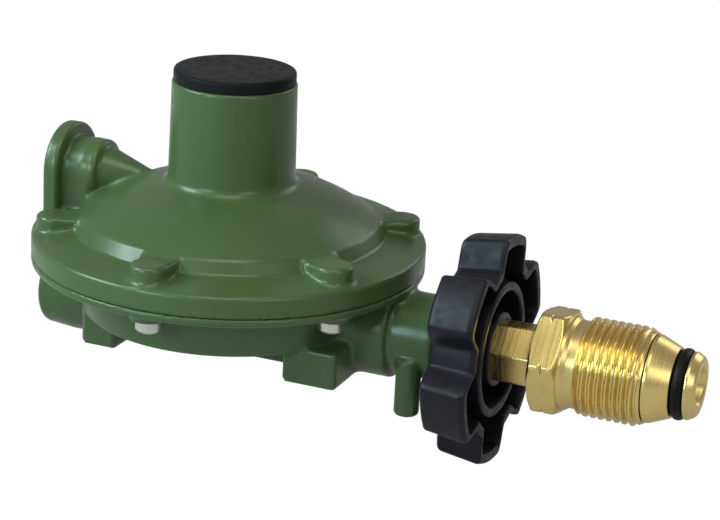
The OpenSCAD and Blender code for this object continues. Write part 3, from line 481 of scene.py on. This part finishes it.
class Finish:
    """A node material built step by step, with every pattern in Object coordinates."""

    def __init__(self, name, colour, roughness, metallic=0.0):
        self.material = bpy.data.materials.new(name)
        self.material.use_nodes = True
        self.tree = self.material.node_tree
        self.shader = self.tree.nodes["Principled BSDF"]
        self.shader.inputs["Base Color"].default_value = (*colour, 1)
        self.shader.inputs["Roughness"].default_value = roughness
        self.shader.inputs["Metallic"].default_value = metallic
        self.coords = self.tree.nodes.new("ShaderNodeTexCoord")
        self.height = None
        self.material.diffuse_color = (*colour, 1)

    def link(self, out, into):
        self.tree.links.new(out, into)

    def noise(self, scale, detail=2.0, stretch=(1, 1, 1)):
        """Noise with that many blobs to a metre, drawn out where stretch is below 1."""
        place = self.tree.nodes.new("ShaderNodeMapping")
        place.inputs["Scale"].default_value = [scale * s for s in stretch]
        grain = self.tree.nodes.new("ShaderNodeTexNoise")
        grain.inputs["Scale"].default_value = 1.0
        grain.inputs["Detail"].default_value = detail
        self.link(self.coords.outputs["Object"], place.inputs["Vector"])
        self.link(place.outputs["Vector"], grain.inputs["Vector"])
        return grain.outputs["Fac"]

    def span(self, value, low, high, start=0.35, stop=0.65):
        """Maps the middle of a noise onto a range of values."""
        node = self.tree.nodes.new("ShaderNodeMapRange")
        node.inputs["From Min"].default_value = start
        node.inputs["From Max"].default_value = stop
        node.inputs["To Min"].default_value = low
        node.inputs["To Max"].default_value = high
        self.link(value, node.inputs["Value"])
        return node.outputs["Result"]

    def colours(self, value, first, second, start=0.35, stop=0.65):
        """Lets the colour wander between two tones."""
        ramp_node = self.tree.nodes.new("ShaderNodeValToRGB")
        ramp_node.color_ramp.elements[0].position = start
        ramp_node.color_ramp.elements[1].position = stop
        ramp_node.color_ramp.elements[0].color = (*first, 1)
        ramp_node.color_ramp.elements[1].color = (*second, 1)
        self.link(value, ramp_node.inputs["Fac"])
        self.link(ramp_node.outputs["Color"], self.shader.inputs["Base Color"])
        return self

    def rough(self, value, low, high):
        self.link(self.span(value, low, high), self.shader.inputs["Roughness"])
        return self

    def bump(self, value, depth_mm, strength=1.0):
        """Adds relief of about that depth to what is there."""
        node = self.tree.nodes.new("ShaderNodeBump")
        node.inputs["Distance"].default_value = depth_mm * MM
        node.inputs["Strength"].default_value = strength
        self.link(value, node.inputs["Height"])
        if self.height is not None:
            self.link(self.height, node.inputs["Normal"])
        self.height = node.outputs["Normal"]
        self.link(self.height, self.shader.inputs["Normal"])
        return self


def enamel(colour):
    """Baked enamel over a die casting: even gloss, orange peel and a faint sandy skin."""
    f = Finish("green enamel", colour, 0.3)
    r, g, b = colour
    f.colours(f.noise(26, 3), (r * 0.92, g * 0.94, b * 0.90), (r * 1.07, g * 1.05, b * 1.09))
    f.rough(f.noise(180, 3), 0.25, 0.36)
    f.bump(f.noise(420, 2), 0.025, 0.5)
    f.bump(f.noise(1900, 2), 0.01, 0.5)
    f.shader.inputs["Specular IOR Level"].default_value = 0.36
    f.shader.inputs["Coat Weight"].default_value = 0.08
    f.shader.inputs["Coat Roughness"].default_value = 0.22
    return f.material


def machined(name, colour, dark, roughness, axis):
    """Turned metal: fine rings across the axis of turning and a slow change of tone."""
    stretch = [0.012] * 3
    stretch[axis] = 1.0
    f = Finish(name, colour, roughness, 1.0)
    f.colours(f.noise(90, 4), dark, colour, 0.25, 0.6)
    f.rough(f.noise(2600, 3, stretch), roughness - 0.03, roughness + 0.05)
    f.bump(f.noise(3800, 2, stretch), 0.0012, 0.4)
    return f.material


def plated(name, colour, roughness):
    """Bright plated or drawn steel, with a slightly blotched gloss."""
    f = Finish(name, colour, roughness, 1.0)
    f.colours(f.noise(300, 3), [c * 0.82 for c in colour], colour)
    f.rough(f.noise(650, 3), roughness - 0.08, roughness + 0.12)
    f.bump(f.noise(1500, 2), 0.01, 0.4)
    return f.material


def moulded(name, colour, roughness, grain, specular):
    """Moulded plastic with a fine spark-eroded grain."""
    f = Finish(name, colour, roughness)
    f.colours(f.noise(60, 3), [c * 0.8 for c in colour], [c * 1.25 for c in colour])
    f.rough(f.noise(500, 3), roughness - 0.08, roughness + 0.08)
    f.bump(f.noise(grain, 3), 0.02, 0.4)
    f.shader.inputs["Specular IOR Level"].default_value = specular
    return f.material


def rubbery(name, colour):
    """Dull rubber with faint mould marks."""
    f = Finish(name, colour, 0.6)
    f.colours(f.noise(220, 2), [c * 0.8 for c in colour], [c * 1.3 for c in colour])
    f.rough(f.noise(900, 2), 0.4, 0.6)
    f.shader.inputs["Specular IOR Level"].default_value = 0.15
    f.bump(f.noise(1400, 2), 0.02, 0.4)
    return f.material


def sintered(colour):
    """Small bronze beads pressed together."""
    f = Finish("sintered bronze", colour, 0.5, 1.0)
    bead = f.tree.nodes.new("ShaderNodeTexVoronoi")
    bead.inputs["Scale"].default_value = 1800.0
    f.link(f.coords.outputs["Object"], bead.inputs["Vector"])
    f.colours(f.noise(800, 2), [c * 0.6 for c in colour], colour)
    f.bump(f.span(bead.outputs["Distance"], 1, 0, 0, 0.8), 0.2, 0.8)
    return f.material


FINISHES = {}


def make_finishes(looks):
    """One material for each slot of the record."""
    FINISHES.update({
        "enamelled_casting": enamel(looks.enamel),
        "brass": machined("brass", looks.brass, [c * 0.78 for c in looks.brass], 0.27, 0),
        "black_plastic": moulded("black moulding", looks.plastic, 0.42, 1500, 0.22),
        "black_cap": moulded("black cap", looks.cap, 0.40, 2200, 0.06),
        "seal_rubber": rubbery("seal rubber", (0.004, 0.004, 0.004)),
        "relief_rubber": rubbery("relief rubber", (0.09, 0.035, 0.028)),
        "zinc": plated("zinc plate", (0.72, 0.70, 0.64), 0.3),
        "steel": plated("bright steel", (0.55, 0.56, 0.58), 0.28),
        "spring_steel": plated("spring wire", (0.40, 0.41, 0.43), 0.33),
        "sintered_bronze": sintered((0.52, 0.36, 0.17)),
    })


# ---- settings --------------------------------------------------------------------------

def length(name, description, millimetres):
    """A length setting, in metres, whose default is given in millimetres."""
    return FloatProperty(name=name, description=description, default=millimetres * MM,
                         unit="LENGTH", precision=5)


def power(name, description, watts):
    """The power setting of a light."""
    return FloatProperty(name=name, description=description, default=watts, min=0, unit="POWER")


def colour(name, description, value):
    """A colour setting, in linear red, green and blue."""
    return FloatVectorProperty(name=name, description=description, default=value, min=0, max=1,
                               subtype="COLOR")


class RegulatorLooks(PropertyGroup):
    enamel: colour("Enamel", "Colour of the castings' enamel", (0.064, 0.110, 0.038))
    brass: colour("Brass", "Colour of the turned brass", (0.77, 0.575, 0.225))
    plastic: colour("Handwheel", "Colour of the handwheel's plastic", (0.009, 0.008, 0.013))
    cap: colour("Cap", "Colour of the tower's cap", (0.012, 0.012, 0.013))


class RegulatorCasting(PropertyGroup):
    voxel: length("Mesh size", "Spacing of the castings' points", 0.57)
    thread_pitch: length("Port thread pitch", "Pitch of the pipe threads in the ports", 1.411)
    thread_depth: length("Port thread depth", "Depth of the pipe threads in the ports", 0.75)


class RegulatorScrews(PropertyGroup):
    head: length("Head", "Diameter of a casing screw's head", 6.0)
    height: length("Head height", "Height of a casing screw's head", 3.3)
    slot: length("Recess width", "Width of the cross recess's arms", 1.1)


class RegulatorSprings(PropertyGroup):
    main: length("Main spring", "Outside diameter of the main spring", 20.0)
    main_wire: length("Main wire", "Diameter of the main spring's wire", 1.8)
    main_turns: IntProperty(name="Main turns", description="Free turns of the main spring",
                            default=6, min=4)
    relief: length("Relief spring", "Outside diameter of the relief spring", 11.0)
    relief_wire: length("Relief wire", "Diameter of the relief spring's wire", 1.1)
    relief_turns: IntProperty(name="Relief turns", description="Free turns of the relief spring",
                              default=4, min=3)


class RegulatorWheel(PropertyGroup):
    lobes: IntProperty(name="Lobes", description="Number of lobes", default=6, min=3)
    diameter: length("Diameter", "Diameter over the lobes at the front", 52.8)
    back_diameter: length("Back diameter", "Diameter over the lobes at the back", 50.2)
    hollow: length("Hollow", "Depth of the hollows between the lobes", 5.6)
    share: FloatProperty(name="Hollow share", description="Share of a lobe that a hollow takes",
                         default=0.56, min=0.2, max=0.9)
    wall: length("Wall", "Thickness of the rim's wall", 2.6)
    ring: length("Ring", "Outside diameter of the inner ring", 31)
    hub: length("Hub", "Diameter of the hub", 17)


class RegulatorConnector(PropertyGroup):
    flats: length("Hexagon", "Width across flats of the nut's hexagon", 22.2)
    thread: length("Thread", "Outside diameter of the left-hand thread", 22.35)
    pitch: length("Pitch", "Pitch of the left-hand thread", 1.814)
    depth: length("Thread depth", "Depth of the left-hand thread", 1.05)


class RegulatorCap(PropertyGroup):
    diameter: length("Diameter", "Diameter of the tower's cap", 28.2)
    height: length("Height", "Height of the cap above the tower", 2.8)
    dish: length("Dish", "Depth of the cap's shallow dish", 0.0)


class RegulatorStage(PropertyGroup):
    focal: FloatProperty(name="Focal length", description="Camera's focal length in mm",
                         default=113.0, min=1)
    floor: length("Floor", "Height of the floor", -16.5)
    key: power("Key light", "Power of the window light in watts", 10.6)
    fill: power("Fill light", "Power of the overhead light in watts", 2.8)
    side: power("Side light", "Power of the right light in watts", 1.6)
    rear: power("Back light", "Power of the light behind in watts", 1.3)
    low: power("Low light", "Power of the small low light in watts", 1.5)
    ambient: FloatProperty(name="Ambient", description="Strength of the surrounding light",
                           default=0.06, min=0)
    mirrored: FloatProperty(name="Mirrored backdrop", default=0.3, min=0, max=1,
                            description="How much of the white backdrop a reflection shows")


# ---- pieces ----------------------------------------------------------------------------

class REGULATOR_OT_finishes(Operator):
    """Make the finishes and dress the inner parts, which keep the frame's own shapes"""
    bl_idname = "regulator.finishes"
    bl_label = "Finishes and inner parts"

    def execute(self, context):
        make_finishes(context.scene.regulator_looks)
        for row in frame["record"]["subparts"]:
            node = NODES[row["node"]]
            for slot in node.material_slots:
                slot.material = FINISHES[row["material_slot"]]
        return {"FINISHED"}


class REGULATOR_OT_castings(Operator):
    """Cast the bonnet and the lower body, with fillets and rounded edges"""
    bl_idname = "regulator.castings"
    bl_label = "Castings"

    def execute(self, context):
        voxel = context.scene.regulator_casting.voxel / MM
        fewest_faces = 20000
        for name, node, distance, hidden in (
                ("bonnet_casting", "bonnet", bonnet_distance, in_tower),
                ("body_casting", "lower_body", body_distance, in_gas_chamber)):
            piece = cast_piece(name, node, distance, voxel, hidden)
            if len(piece.data.polygons) < fewest_faces:
                raise RuntimeError(f"{name} came out too coarse")
            finish_piece(piece, "casing", "enamelled_casting", node)
        return {"FINISHED"}


def port_thread(name, mouth, end, radius, pitch, depth, axis_z):
    """Inside thread of a port: the wall moves in and out as the helix passes, dying out inside.

    The radius is a rounded saw of x / pitch - phi / 360, and the ring's back is in the wall.
    """
    start, proud, back = mouth + 0.9, radius - 0.04, radius + 0.25
    x = np.arange(start, end, pitch / 14)
    path = np.stack([x, np.full(len(x), proud)], 1)
    path = np.concatenate([[[start, back]], path, [[x[-1], back]]])

    def warp(x, r, phi):
        wave = np.abs(((x / pitch - phi / 360) % 1) * 2 - 1)
        ridge = np.clip(wave * 1.5 - 0.3, 0, 1) * depth
        fade = ramp(x, mouth + 0.8, mouth + 2.2) * (1 - ramp(x, end - 2.0, end))
        return np.where(r < radius, r - ridge * fade, r)

    piece = surface(name, turned_x(path, 160, warp, axis_z), wrap_rows=True)
    finish_piece(piece, "casing", "enamelled_casting")


class REGULATOR_OT_port_threads(Operator):
    """Cut the pipe threads that show in the outlet's and the vent's mouths"""
    bl_idname = "regulator.port_threads"
    bl_label = "Port threads"

    def execute(self, context):
        casting = context.scene.regulator_casting
        pitch, depth = casting.thread_pitch / MM, casting.thread_depth / MM
        port_thread("outlet_thread", OUTLET_X, -36.4, OUTLET_R, pitch, depth, OUTLET_Z)
        # the vent's smaller pipe thread is finer and shallower
        pitch, depth = pitch * 0.667, depth * 0.6
        port_thread("vent_thread", VENT_X, -37.8, VENT_R, pitch, depth, VENT_Z)
        return {"FINISHED"}


class REGULATOR_OT_screws(Operator):
    """Drive the six pan-head screws, with their cross recesses, in from below"""
    bl_idname = "regulator.screws"
    bl_label = "Casing screws"

    def execute(self, context):
        s = context.scene.regulator_screws
        r, h, slot = s.head / 2 / MM, s.height / MM, s.slot / MM
        sides, shank_r, shank_end = 96, 1.95, 6
        # a head: a flat crown, the dome's edge falling away ever faster, the seat and the shank
        crown, edge = 0.55, np.linspace(0.6, 1.5, 9)
        rho = np.concatenate([np.linspace(0, r * crown, 16), r * np.sin(edge)])
        dome = -h * (1 - 0.16 * (rho / r) ** 2 - 0.62 * np.clip(rho / r - crown, 0, 1) ** 1.6)
        rho = np.concatenate([rho, [r, r, r - 0.2, shank_r, shank_r, 0]])
        z = np.concatenate([dome, [-0.35, 0, 0, 0, shank_end, shank_end]])
        a = np.radians(np.arange(sides) * 360 / sides)
        x, y = rho[:, None] * np.cos(a), rho[:, None] * np.sin(a)
        # the cross recess: two crossed channels with sloping walls, shallower further out
        arm_end, slope, run_out, deep = 1.95, 0.22, 0.5, 1.0
        arm = np.minimum(np.abs(x), np.abs(y))
        along = np.maximum(np.abs(x), np.abs(y))
        depth = deep * np.clip((slot / 2 + 0.12 - arm) / slope, 0, 1) \
            * np.clip((arm_end - along) / run_out, 0, 1)
        z = z[:, None] + np.where(rho[:, None] < 2.3, depth, 0)
        for k in range(6):
            turn, twist = math.radians(30 + 60 * k), math.radians(17 + 41 * k)
            c, t = math.cos(twist), math.sin(twist)
            head = np.stack([x * c - y * t + SCREW_CIRCLE_R * math.cos(turn),
                             x * t + y * c + SCREW_CIRCLE_R * math.sin(turn),
                             z + BOSS_BOTTOM_Z], -1)
            piece = surface(f"casing_screw_{k + 1}", head, crease=40)
            finish_piece(piece, "casing", "zinc", "casing_screws")
        return {"FINISHED"}


class REGULATOR_OT_springs(Operator):
    """Wind both springs and lay in the diaphragm"""
    bl_idname = "regulator.springs"
    bl_label = "Springs and diaphragm"

    def execute(self, context):
        s = context.scene.regulator_springs
        # the main spring in three lengths, cut after these turns
        wire, turns = s.main_wire / MM, s.main_turns
        low, high = (corner.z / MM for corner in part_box("main_spring"))
        cuts = [0, 1.5, 4.0, turns + 2 * CLOSED_TURNS]
        heights = coil_height(cuts, wire, turns, low, high)
        heights[[0, -1]] = low, high
        bodies = ["plate", "pusher", "casing", "spring_seat"]
        for k in range(3):
            piece = coil(f"main_spring_{k + 1}", s.main / MM, wire, turns, low, high,
                         cuts[k], cuts[k + 1])
            flexing_piece(piece, bodies[k:k + 2], heights[k], heights[k + 1],
                          "spring_steel", "main_spring")
        # the relief spring, in one length
        wire, turns = s.relief_wire / MM, s.relief_turns
        low, high = (corner.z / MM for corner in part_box("relief_spring"))
        piece = coil("relief_spring_coil", s.relief / MM, wire, turns, low, high,
                     0, turns + 2 * CLOSED_TURNS)
        flexing_piece(piece, ["plate", "pusher"], low, high, "spring_steel", "relief_spring")
        # the diaphragm, in the frame's own shape
        mesh = NODES["diaphragm"].data.copy()
        tidy_mesh(mesh, 40)
        piece = bpy.data.objects.new("moulded_diaphragm", mesh)
        context.scene.collection.objects.link(piece)
        flexing_piece(piece, ["pusher", "casing"], DISC_TOP_Z, RIM_BOTTOM_Z,
                      "seal_rubber", "diaphragm")
        return {"FINISHED"}


class REGULATOR_OT_handwheel(Operator):
    """Mould the lobed handwheel with its drafted rim, inner ring and hub"""
    bl_idname = "regulator.handwheel"
    bl_label = "Handwheel"

    def execute(self, context):
        w = context.scene.regulator_wheel
        back, front, floor = 58.0, 69.0, 61.0
        big, small, hollow = w.diameter / 2 / MM, w.back_diameter / 2 / MM, w.hollow / MM
        wall, ring, hub, hole = w.wall / MM, w.ring / 2 / MM, w.hub / 2 / MM, 7.0
        inner, ring_front, hub_front = big - wall, front - 0.3, front - 0.8
        # its section: (x, radius) of each corner, with the radius that rounds it
        section = [
            [floor, hole, 0], [back, hole, 0.3], [back, small - 0.1, 1.4],
            [front - 1.2, big, 1.0], [front, big - 0.35, 0.6], [front, inner + 0.1, 0.5],
            [floor, inner - 0.5, 1.0], [floor, ring + 0.3, 0.8], [ring_front, ring, 0.6],
            [ring_front, ring - 2, 0.6], [floor, ring - 2.3, 0.8], [floor, hub + 0.3, 0.8],
            [hub_front, hub, 0.5], [hub_front, hole, 0.3], [floor, hole, 0]]
        path = rounded([corner[:2] for corner in section], [corner[2] for corner in section], 5)
        path = dense(path[:-1], 1.2)
        step, first_lobe, flat, clearance = 360 / w.lobes, 170, 0.35, 0.04

        def warp(x, r, phi):
            """Flat-floored hollows between the lobes move the rim in; the hole is a hexagon."""
            a = (phi - first_lobe) % step
            off = (np.abs(a - step / 2) / (w.share * step / 2) - flat) / (1 - flat)
            dip = hollow * (1 + np.cos(np.pi * np.clip(off, 0, 1))) / 2
            lobed = r - dip * np.clip((r - ring - 0.3) / (inner - ring - 0.8), 0, 1)
            hexed = hexagon(2 * NECK_R + clearance, NUT_TURN, phi) - hole
            return np.where(r < hub, r + hexed * (1 - ramp(r, hole, hub - 0.3)), lobed)

        piece = surface("moulded_wheel", turned_x(path, 480, warp), wrap_rows=True, crease=50)
        finish_piece(piece, "coupling_nut", "black_plastic", "handwheel")
        return {"FINISHED"}


class REGULATOR_OT_connector(Operator):
    """Turn the brass nut with its left-hand thread and the nipple with its tapered nose"""
    bl_idname = "regulator.connector"
    bl_label = "Brass connector"

    def execute(self, context):
        c = context.scene.regulator_connector
        flats, big, pitch, depth = (v / MM for v in (c.flats, c.thread / 2, c.pitch, c.depth))
        # stations along the gas line: back, end of the neck, hexagon, groove, thread, front
        back, neck_end, hex_x, hex_end = 58.5, 77.6, 78.0, 84.5
        thread, lead, end = 88.3, 101.5, 103.4
        bore_r, shoulder_r, groove_r, corner = 5.55, 10.6, 10.0, flats / math.sqrt(3)
        parts = {
            "back": np.array([[back, bore_r], [back, NECK_R]]),
            "neck": dense(np.array([[back + 0.1, NECK_R], [neck_end, NECK_R]]), 2.0),
            "fillet": arc(neck_end, NECK_R + 0.4, 0.4, -90, 0, 4),
            "face": np.array([[hex_x, 9.0]]),
            "hexagon": np.stack([np.linspace(hex_x, hex_end, 60), np.full(60, corner)], 1),
            "groove": rounded([[hex_end, 11.0], [hex_end, shoulder_r], [85.3, shoulder_r],
                               [86.1, groove_r], [thread - 0.1, groove_r]],
                              [0, 0.3, 0.3, 0.4, 0]),
            "thread": dense(np.array([[thread, big], [end, big]]), pitch / 18),
            "front": rounded([[end, 9.9], [end, bore_r], [end - 1, bore_r]], [0, 0.3, 0])}
        path = np.concatenate(list(parts.values()))
        part = np.repeat(list(parts), [len(points) for points in parts.values()])[:, None]
        middle, neck_corner = (hex_x + hex_end) / 2, 7.35

        def warp(x, r, phi):
            """Hexagon cut by its end chamfers and corner notches; helix by x / pitch + phi."""
            neck = np.minimum(hexagon(2 * NECK_R, NUT_TURN, phi), neck_corner)
            slim = (part == "neck") | (part == "back") & (r > 6)
            r = np.where(slim, neck, r)
            r = np.where(part == "fillet", neck + r - NECK_R, r)
            bevel = flats / 2 + 0.25 + np.minimum(x - hex_x, hex_end - x) * 1.75
            away = np.radians((phi - NUT_TURN + 30) % 60 - 30)
            notch = (corner - 0.7 + np.abs(x - middle) * 1.1) / np.cos(away)
            nut = both(both(hexagon(flats, NUT_TURN, phi), bevel, 0.4), notch, 0.2)
            r = np.where(part == "hexagon", np.minimum(nut, corner - 0.25), r)
            wave = np.abs(((x - thread) / pitch + phi / 360) % 1 * 2 - 1)
            crest = big - depth * np.clip(1.32 - wave * 1.6, 0, 1) * ramp(x, thread, thread + 0.5)
            run_in = big - 0.9 + (x - thread) * 1.6
            taper = big - (x - lead) * 0.52
            return np.where(part == "thread", np.minimum(np.minimum(crest, run_in), taper), r)

        nut = surface("threaded_nut", turned_x(path, 360, warp), wrap_rows=True, crease=32)
        finish_piece(nut, "coupling_nut", "brass", "pol_nut")
        # the nipple, from its pipe end in the body to the nose with the seal ring's groove
        nose = rounded(
            [[44, 3.3], [44, 6.58], [55.6, 6.58], [55.6, 5.5], [103.5, 5.5], [103.5, 9.9],
             [104.4, 9.9], [109.2, 7.9], [109.2, 5.1], [112.2, 5.1], [112.2, 7.6], [112.9, 7.6],
             [114.6, 6.6], [114.6, 4.6], [114.2, 4.2], [111.6, 3.3], [80, 3.3]],
            [0, 0.3, 0.3, 0, 0, 0.35, 0.6, 0.3, 0, 0, 0.3, 0.5, 0.9, 0.3, 0.2, 0.4, 0])
        nose = dense(nose, 2.5)
        nipple = surface("nose_nipple", turned_x(nose, 160), wrap_rows=True, crease=32)
        finish_piece(nipple, "casing", "brass", "pol_nipple")
        return {"FINISHED"}


class REGULATOR_OT_cap(Operator):
    """Mould the tower's cap with its shallow dish, threaded plug and hexagon recess"""
    bl_idname = "regulator.cap"
    bl_label = "Tower cap"

    def execute(self, context):
        c = context.scene.regulator_cap
        r, top, dish = c.diameter / 2 / MM, TOWER_Z + c.height / MM, c.dish / MM
        seat_z, plug_z, recess_z = TOWER_Z + 0.1, TOWER_Z - 5, TOWER_Z - 1
        plug_r, recess_r, pitch, depth = 11.9, 6.0, 1.5, 0.55
        shell = rounded([[0, top - dish], [r - 2.4, top - dish], [r - 1.6, top], [r, top],
                         [r, seat_z], [plug_r, seat_z]], [0, 0.8, 0.5, 0.9, 0.25, 0], 8)
        plug = dense(np.array([[plug_r, TOWER_Z], [plug_r, plug_z]]), 0.1)
        under = dense(rounded([[11.6, plug_z], [recess_r, plug_z], [recess_r, recess_z],
                               [0, recess_z]], [0, 0.2, 0.3, 0]), 1.0)
        path = np.concatenate([shell, plug, under])
        part = np.repeat(["shell", "plug", "under"], [len(shell), len(plug), len(under)])[:, None]

        def warp(radius, z, angle):
            """A shallow thread on the plug and a hexagon recess under it."""
            wave = np.abs(((z - plug_z) / pitch - angle / 360) % 1 * 2 - 1)
            groove = depth * np.clip(wave * 1.5 - 0.25, 0, 1) * ramp(z, plug_z, plug_z + 0.5)
            hexed = hexagon(2 * recess_r, 0, angle) / recess_r
            recess = radius * np.where(radius <= recess_r + 0.01, hexed, 1)
            return np.where(part == "plug", radius - groove,
                            np.where(part == "under", recess, radius))

        piece = surface("tower_cap", turned_z(path, 180, warp), crease=40)
        finish_piece(piece, "cap", "black_cap", "closing_cap")
        return {"FINISHED"}


# ---- stage -----------------------------------------------------------------------------

def combined(tree, operation, value, other):
    """A value put together with another one or with a number."""
    node = tree.nodes.new("ShaderNodeMath")
    node.operation = operation
    tree.links.new(value, node.inputs[0])
    if isinstance(other, float):
        node.inputs[1].default_value = other
    else:
        tree.links.new(other, node.inputs[1])
    return node.outputs["Value"]


class REGULATOR_OT_stage(Operator):
    """Set up the floor, the soft lights and the camera"""
    bl_idname = "regulator.stage"
    bl_label = "Stage"

    def execute(self, context):
        s = context.scene.regulator_stage
        scene = context.scene
        self.floor(s)
        self.world(scene, s)
        self.lamp("left window", (-0.78, -0.48, 0.62), 0.5, s.key, (0.74, 0.96, 1.0))
        self.lamp("overhead softbox", (0.15, -0.40, 0.85), 0.5, s.fill, (1.0, 0.97, 0.76))
        self.lamp("right softbox", (0.75, -0.55, 0.45), 0.45, s.side, (1.0, 0.98, 0.94))
        self.lamp("low softbox", (-0.22, -0.64, 0.24), 0.2, s.low, (0.60, 0.94, 1.0))
        self.lamp("back softbox", (0.38, 0.80, 0.48), 0.5, s.rear, (0.94, 0.98, 1.0))
        self.camera(scene, s)
        scene.view_settings.view_transform = "Standard"
        return {"FINISHED"}

    def camera(self, scene, s):
        """A long lens at its place in metres, with its own right, up and back as axes."""
        data = bpy.data.cameras.new("camera")
        data.lens, data.sensor_width, data.clip_start = s.focal, 36.0, 0.01
        camera = bpy.data.objects.new("camera", data)
        scene.collection.objects.link(camera)
        right, up = (0.92241, 0.38294, 0.05011), (-0.16606, 0.27614, 0.94666)
        back, place = (0.34867, -0.88154, 0.31830), (0.21334, -0.45591, 0.18973)
        camera.matrix_world = Matrix([*zip(right, up, back, place), (0, 0, 0, 1)])
        scene.camera = camera

    def floor(self, s):
        """A large pale sheet, mostly its own white to the camera, which keeps some shadow."""
        half_width, glow_share, glow_strength = 3000, 0.97, 1.03
        grid = np.linspace(-half_width, half_width, 3)
        x, y = np.meshgrid(grid, grid, indexing="ij")
        sheet = surface("floor", np.stack([x, y, np.full_like(x, s.floor / MM)], -1),
                        wrap_cols=False)
        f = Finish("pale floor", (0.5, 0.5, 0.5), 0.8)
        f.shader.inputs["Specular IOR Level"].default_value = 0.0
        glow = f.tree.nodes.new("ShaderNodeEmission")
        glow.inputs["Strength"].default_value = glow_strength
        share = combined(f.tree, "MULTIPLY", self.seen(f.tree, s.mirrored), glow_share)
        mix = f.tree.nodes.new("ShaderNodeMixShader")
        f.link(share, mix.inputs["Fac"])
        f.link(f.shader.outputs["BSDF"], mix.inputs[1])
        f.link(glow.outputs["Emission"], mix.inputs[2])
        f.link(mix.outputs["Shader"], f.tree.nodes["Material Output"].inputs["Surface"])
        sheet.data.materials.append(f.material)

    def world(self, scene, s):
        """White to the camera, partly white to reflections, and gentler as light."""
        world = bpy.data.worlds.new("studio")
        world.use_nodes = True
        tree = world.node_tree
        light = tree.nodes["Background"]
        light.inputs["Color"].default_value = (1, 1, 1, 1)
        light.inputs["Strength"].default_value = s.ambient
        white = tree.nodes.new("ShaderNodeBackground")
        white.inputs["Color"].default_value = (1, 1, 1, 1)
        mix = tree.nodes.new("ShaderNodeMixShader")
        tree.links.new(self.seen(tree, s.mirrored), mix.inputs["Fac"])
        tree.links.new(light.outputs["Background"], mix.inputs[1])
        tree.links.new(white.outputs["Background"], mix.inputs[2])
        tree.links.new(mix.outputs["Shader"], tree.nodes["World Output"].inputs["Surface"])
        scene.world = world

    def seen(self, tree, mirrored):
        """How white the backdrop is to a ray: all to the eye, and partly to a reflection."""
        path = tree.nodes.new("ShaderNodeLightPath")
        share = combined(tree, "MULTIPLY", path.outputs["Is Glossy Ray"], mirrored)
        for ray in ("Is Camera Ray", "Is Transmission Ray"):
            share = combined(tree, "MAXIMUM", share, path.outputs[ray])
        return share

    def lamp(self, name, place, size, power, tint):
        """A square softbox at a place, aimed at the casing."""
        data = bpy.data.lights.new(name, "AREA")
        data.size, data.energy, data.color = size, power, tint
        lamp = bpy.data.objects.new(name, data)
        bpy.context.scene.collection.objects.link(lamp)
        lamp.location = place
        casing = Vector((0, 0, 0.02))
        lamp.rotation_euler = (casing - lamp.location).to_track_quat("-Z", "Y").to_euler()


class REGULATOR_PT_panel(Panel):
    """The regulator's pieces and settings"""
    bl_idname = "REGULATOR_PT_panel"
    bl_label = "Propane Regulator"
    bl_space_type = "VIEW_3D"
    bl_region_type = "UI"
    bl_category = "Regulator"

    def draw(self, context):
        for operator in OPERATORS:
            self.layout.operator(operator.bl_idname)
        for name in SETTINGS:
            group = getattr(context.scene, name)
            box = self.layout.box()
            for key in group.__annotations__:
                box.prop(group, key)


SETTINGS = {"regulator_looks": RegulatorLooks, "regulator_casting": RegulatorCasting,
            "regulator_screws": RegulatorScrews, "regulator_springs": RegulatorSprings,
            "regulator_wheel": RegulatorWheel, "regulator_connector": RegulatorConnector,
            "regulator_cap": RegulatorCap, "regulator_stage": RegulatorStage}
OPERATORS = [REGULATOR_OT_finishes, REGULATOR_OT_castings, REGULATOR_OT_port_threads,
             REGULATOR_OT_screws, REGULATOR_OT_springs, REGULATOR_OT_handwheel,
             REGULATOR_OT_connector, REGULATOR_OT_cap, REGULATOR_OT_stage]


def register():
    for cls in [*SETTINGS.values(), *OPERATORS, REGULATOR_PT_panel]:
        bpy.utils.register_class(cls)
    for name, group in SETTINGS.items():
        setattr(bpy.types.Scene, name, PointerProperty(type=group))


def unregister():
    for name in SETTINGS:
        delattr(bpy.types.Scene, name)
    for cls in [REGULATOR_PT_panel, *reversed(OPERATORS), *reversed(SETTINGS.values())]:
        bpy.utils.unregister_class(cls)


def main():
    register()
    for operator in OPERATORS:
        group, name = operator.bl_idname.split(".")
        getattr(getattr(bpy.ops, group), name)()
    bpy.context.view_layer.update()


if __name__ == "__main__":
    main()
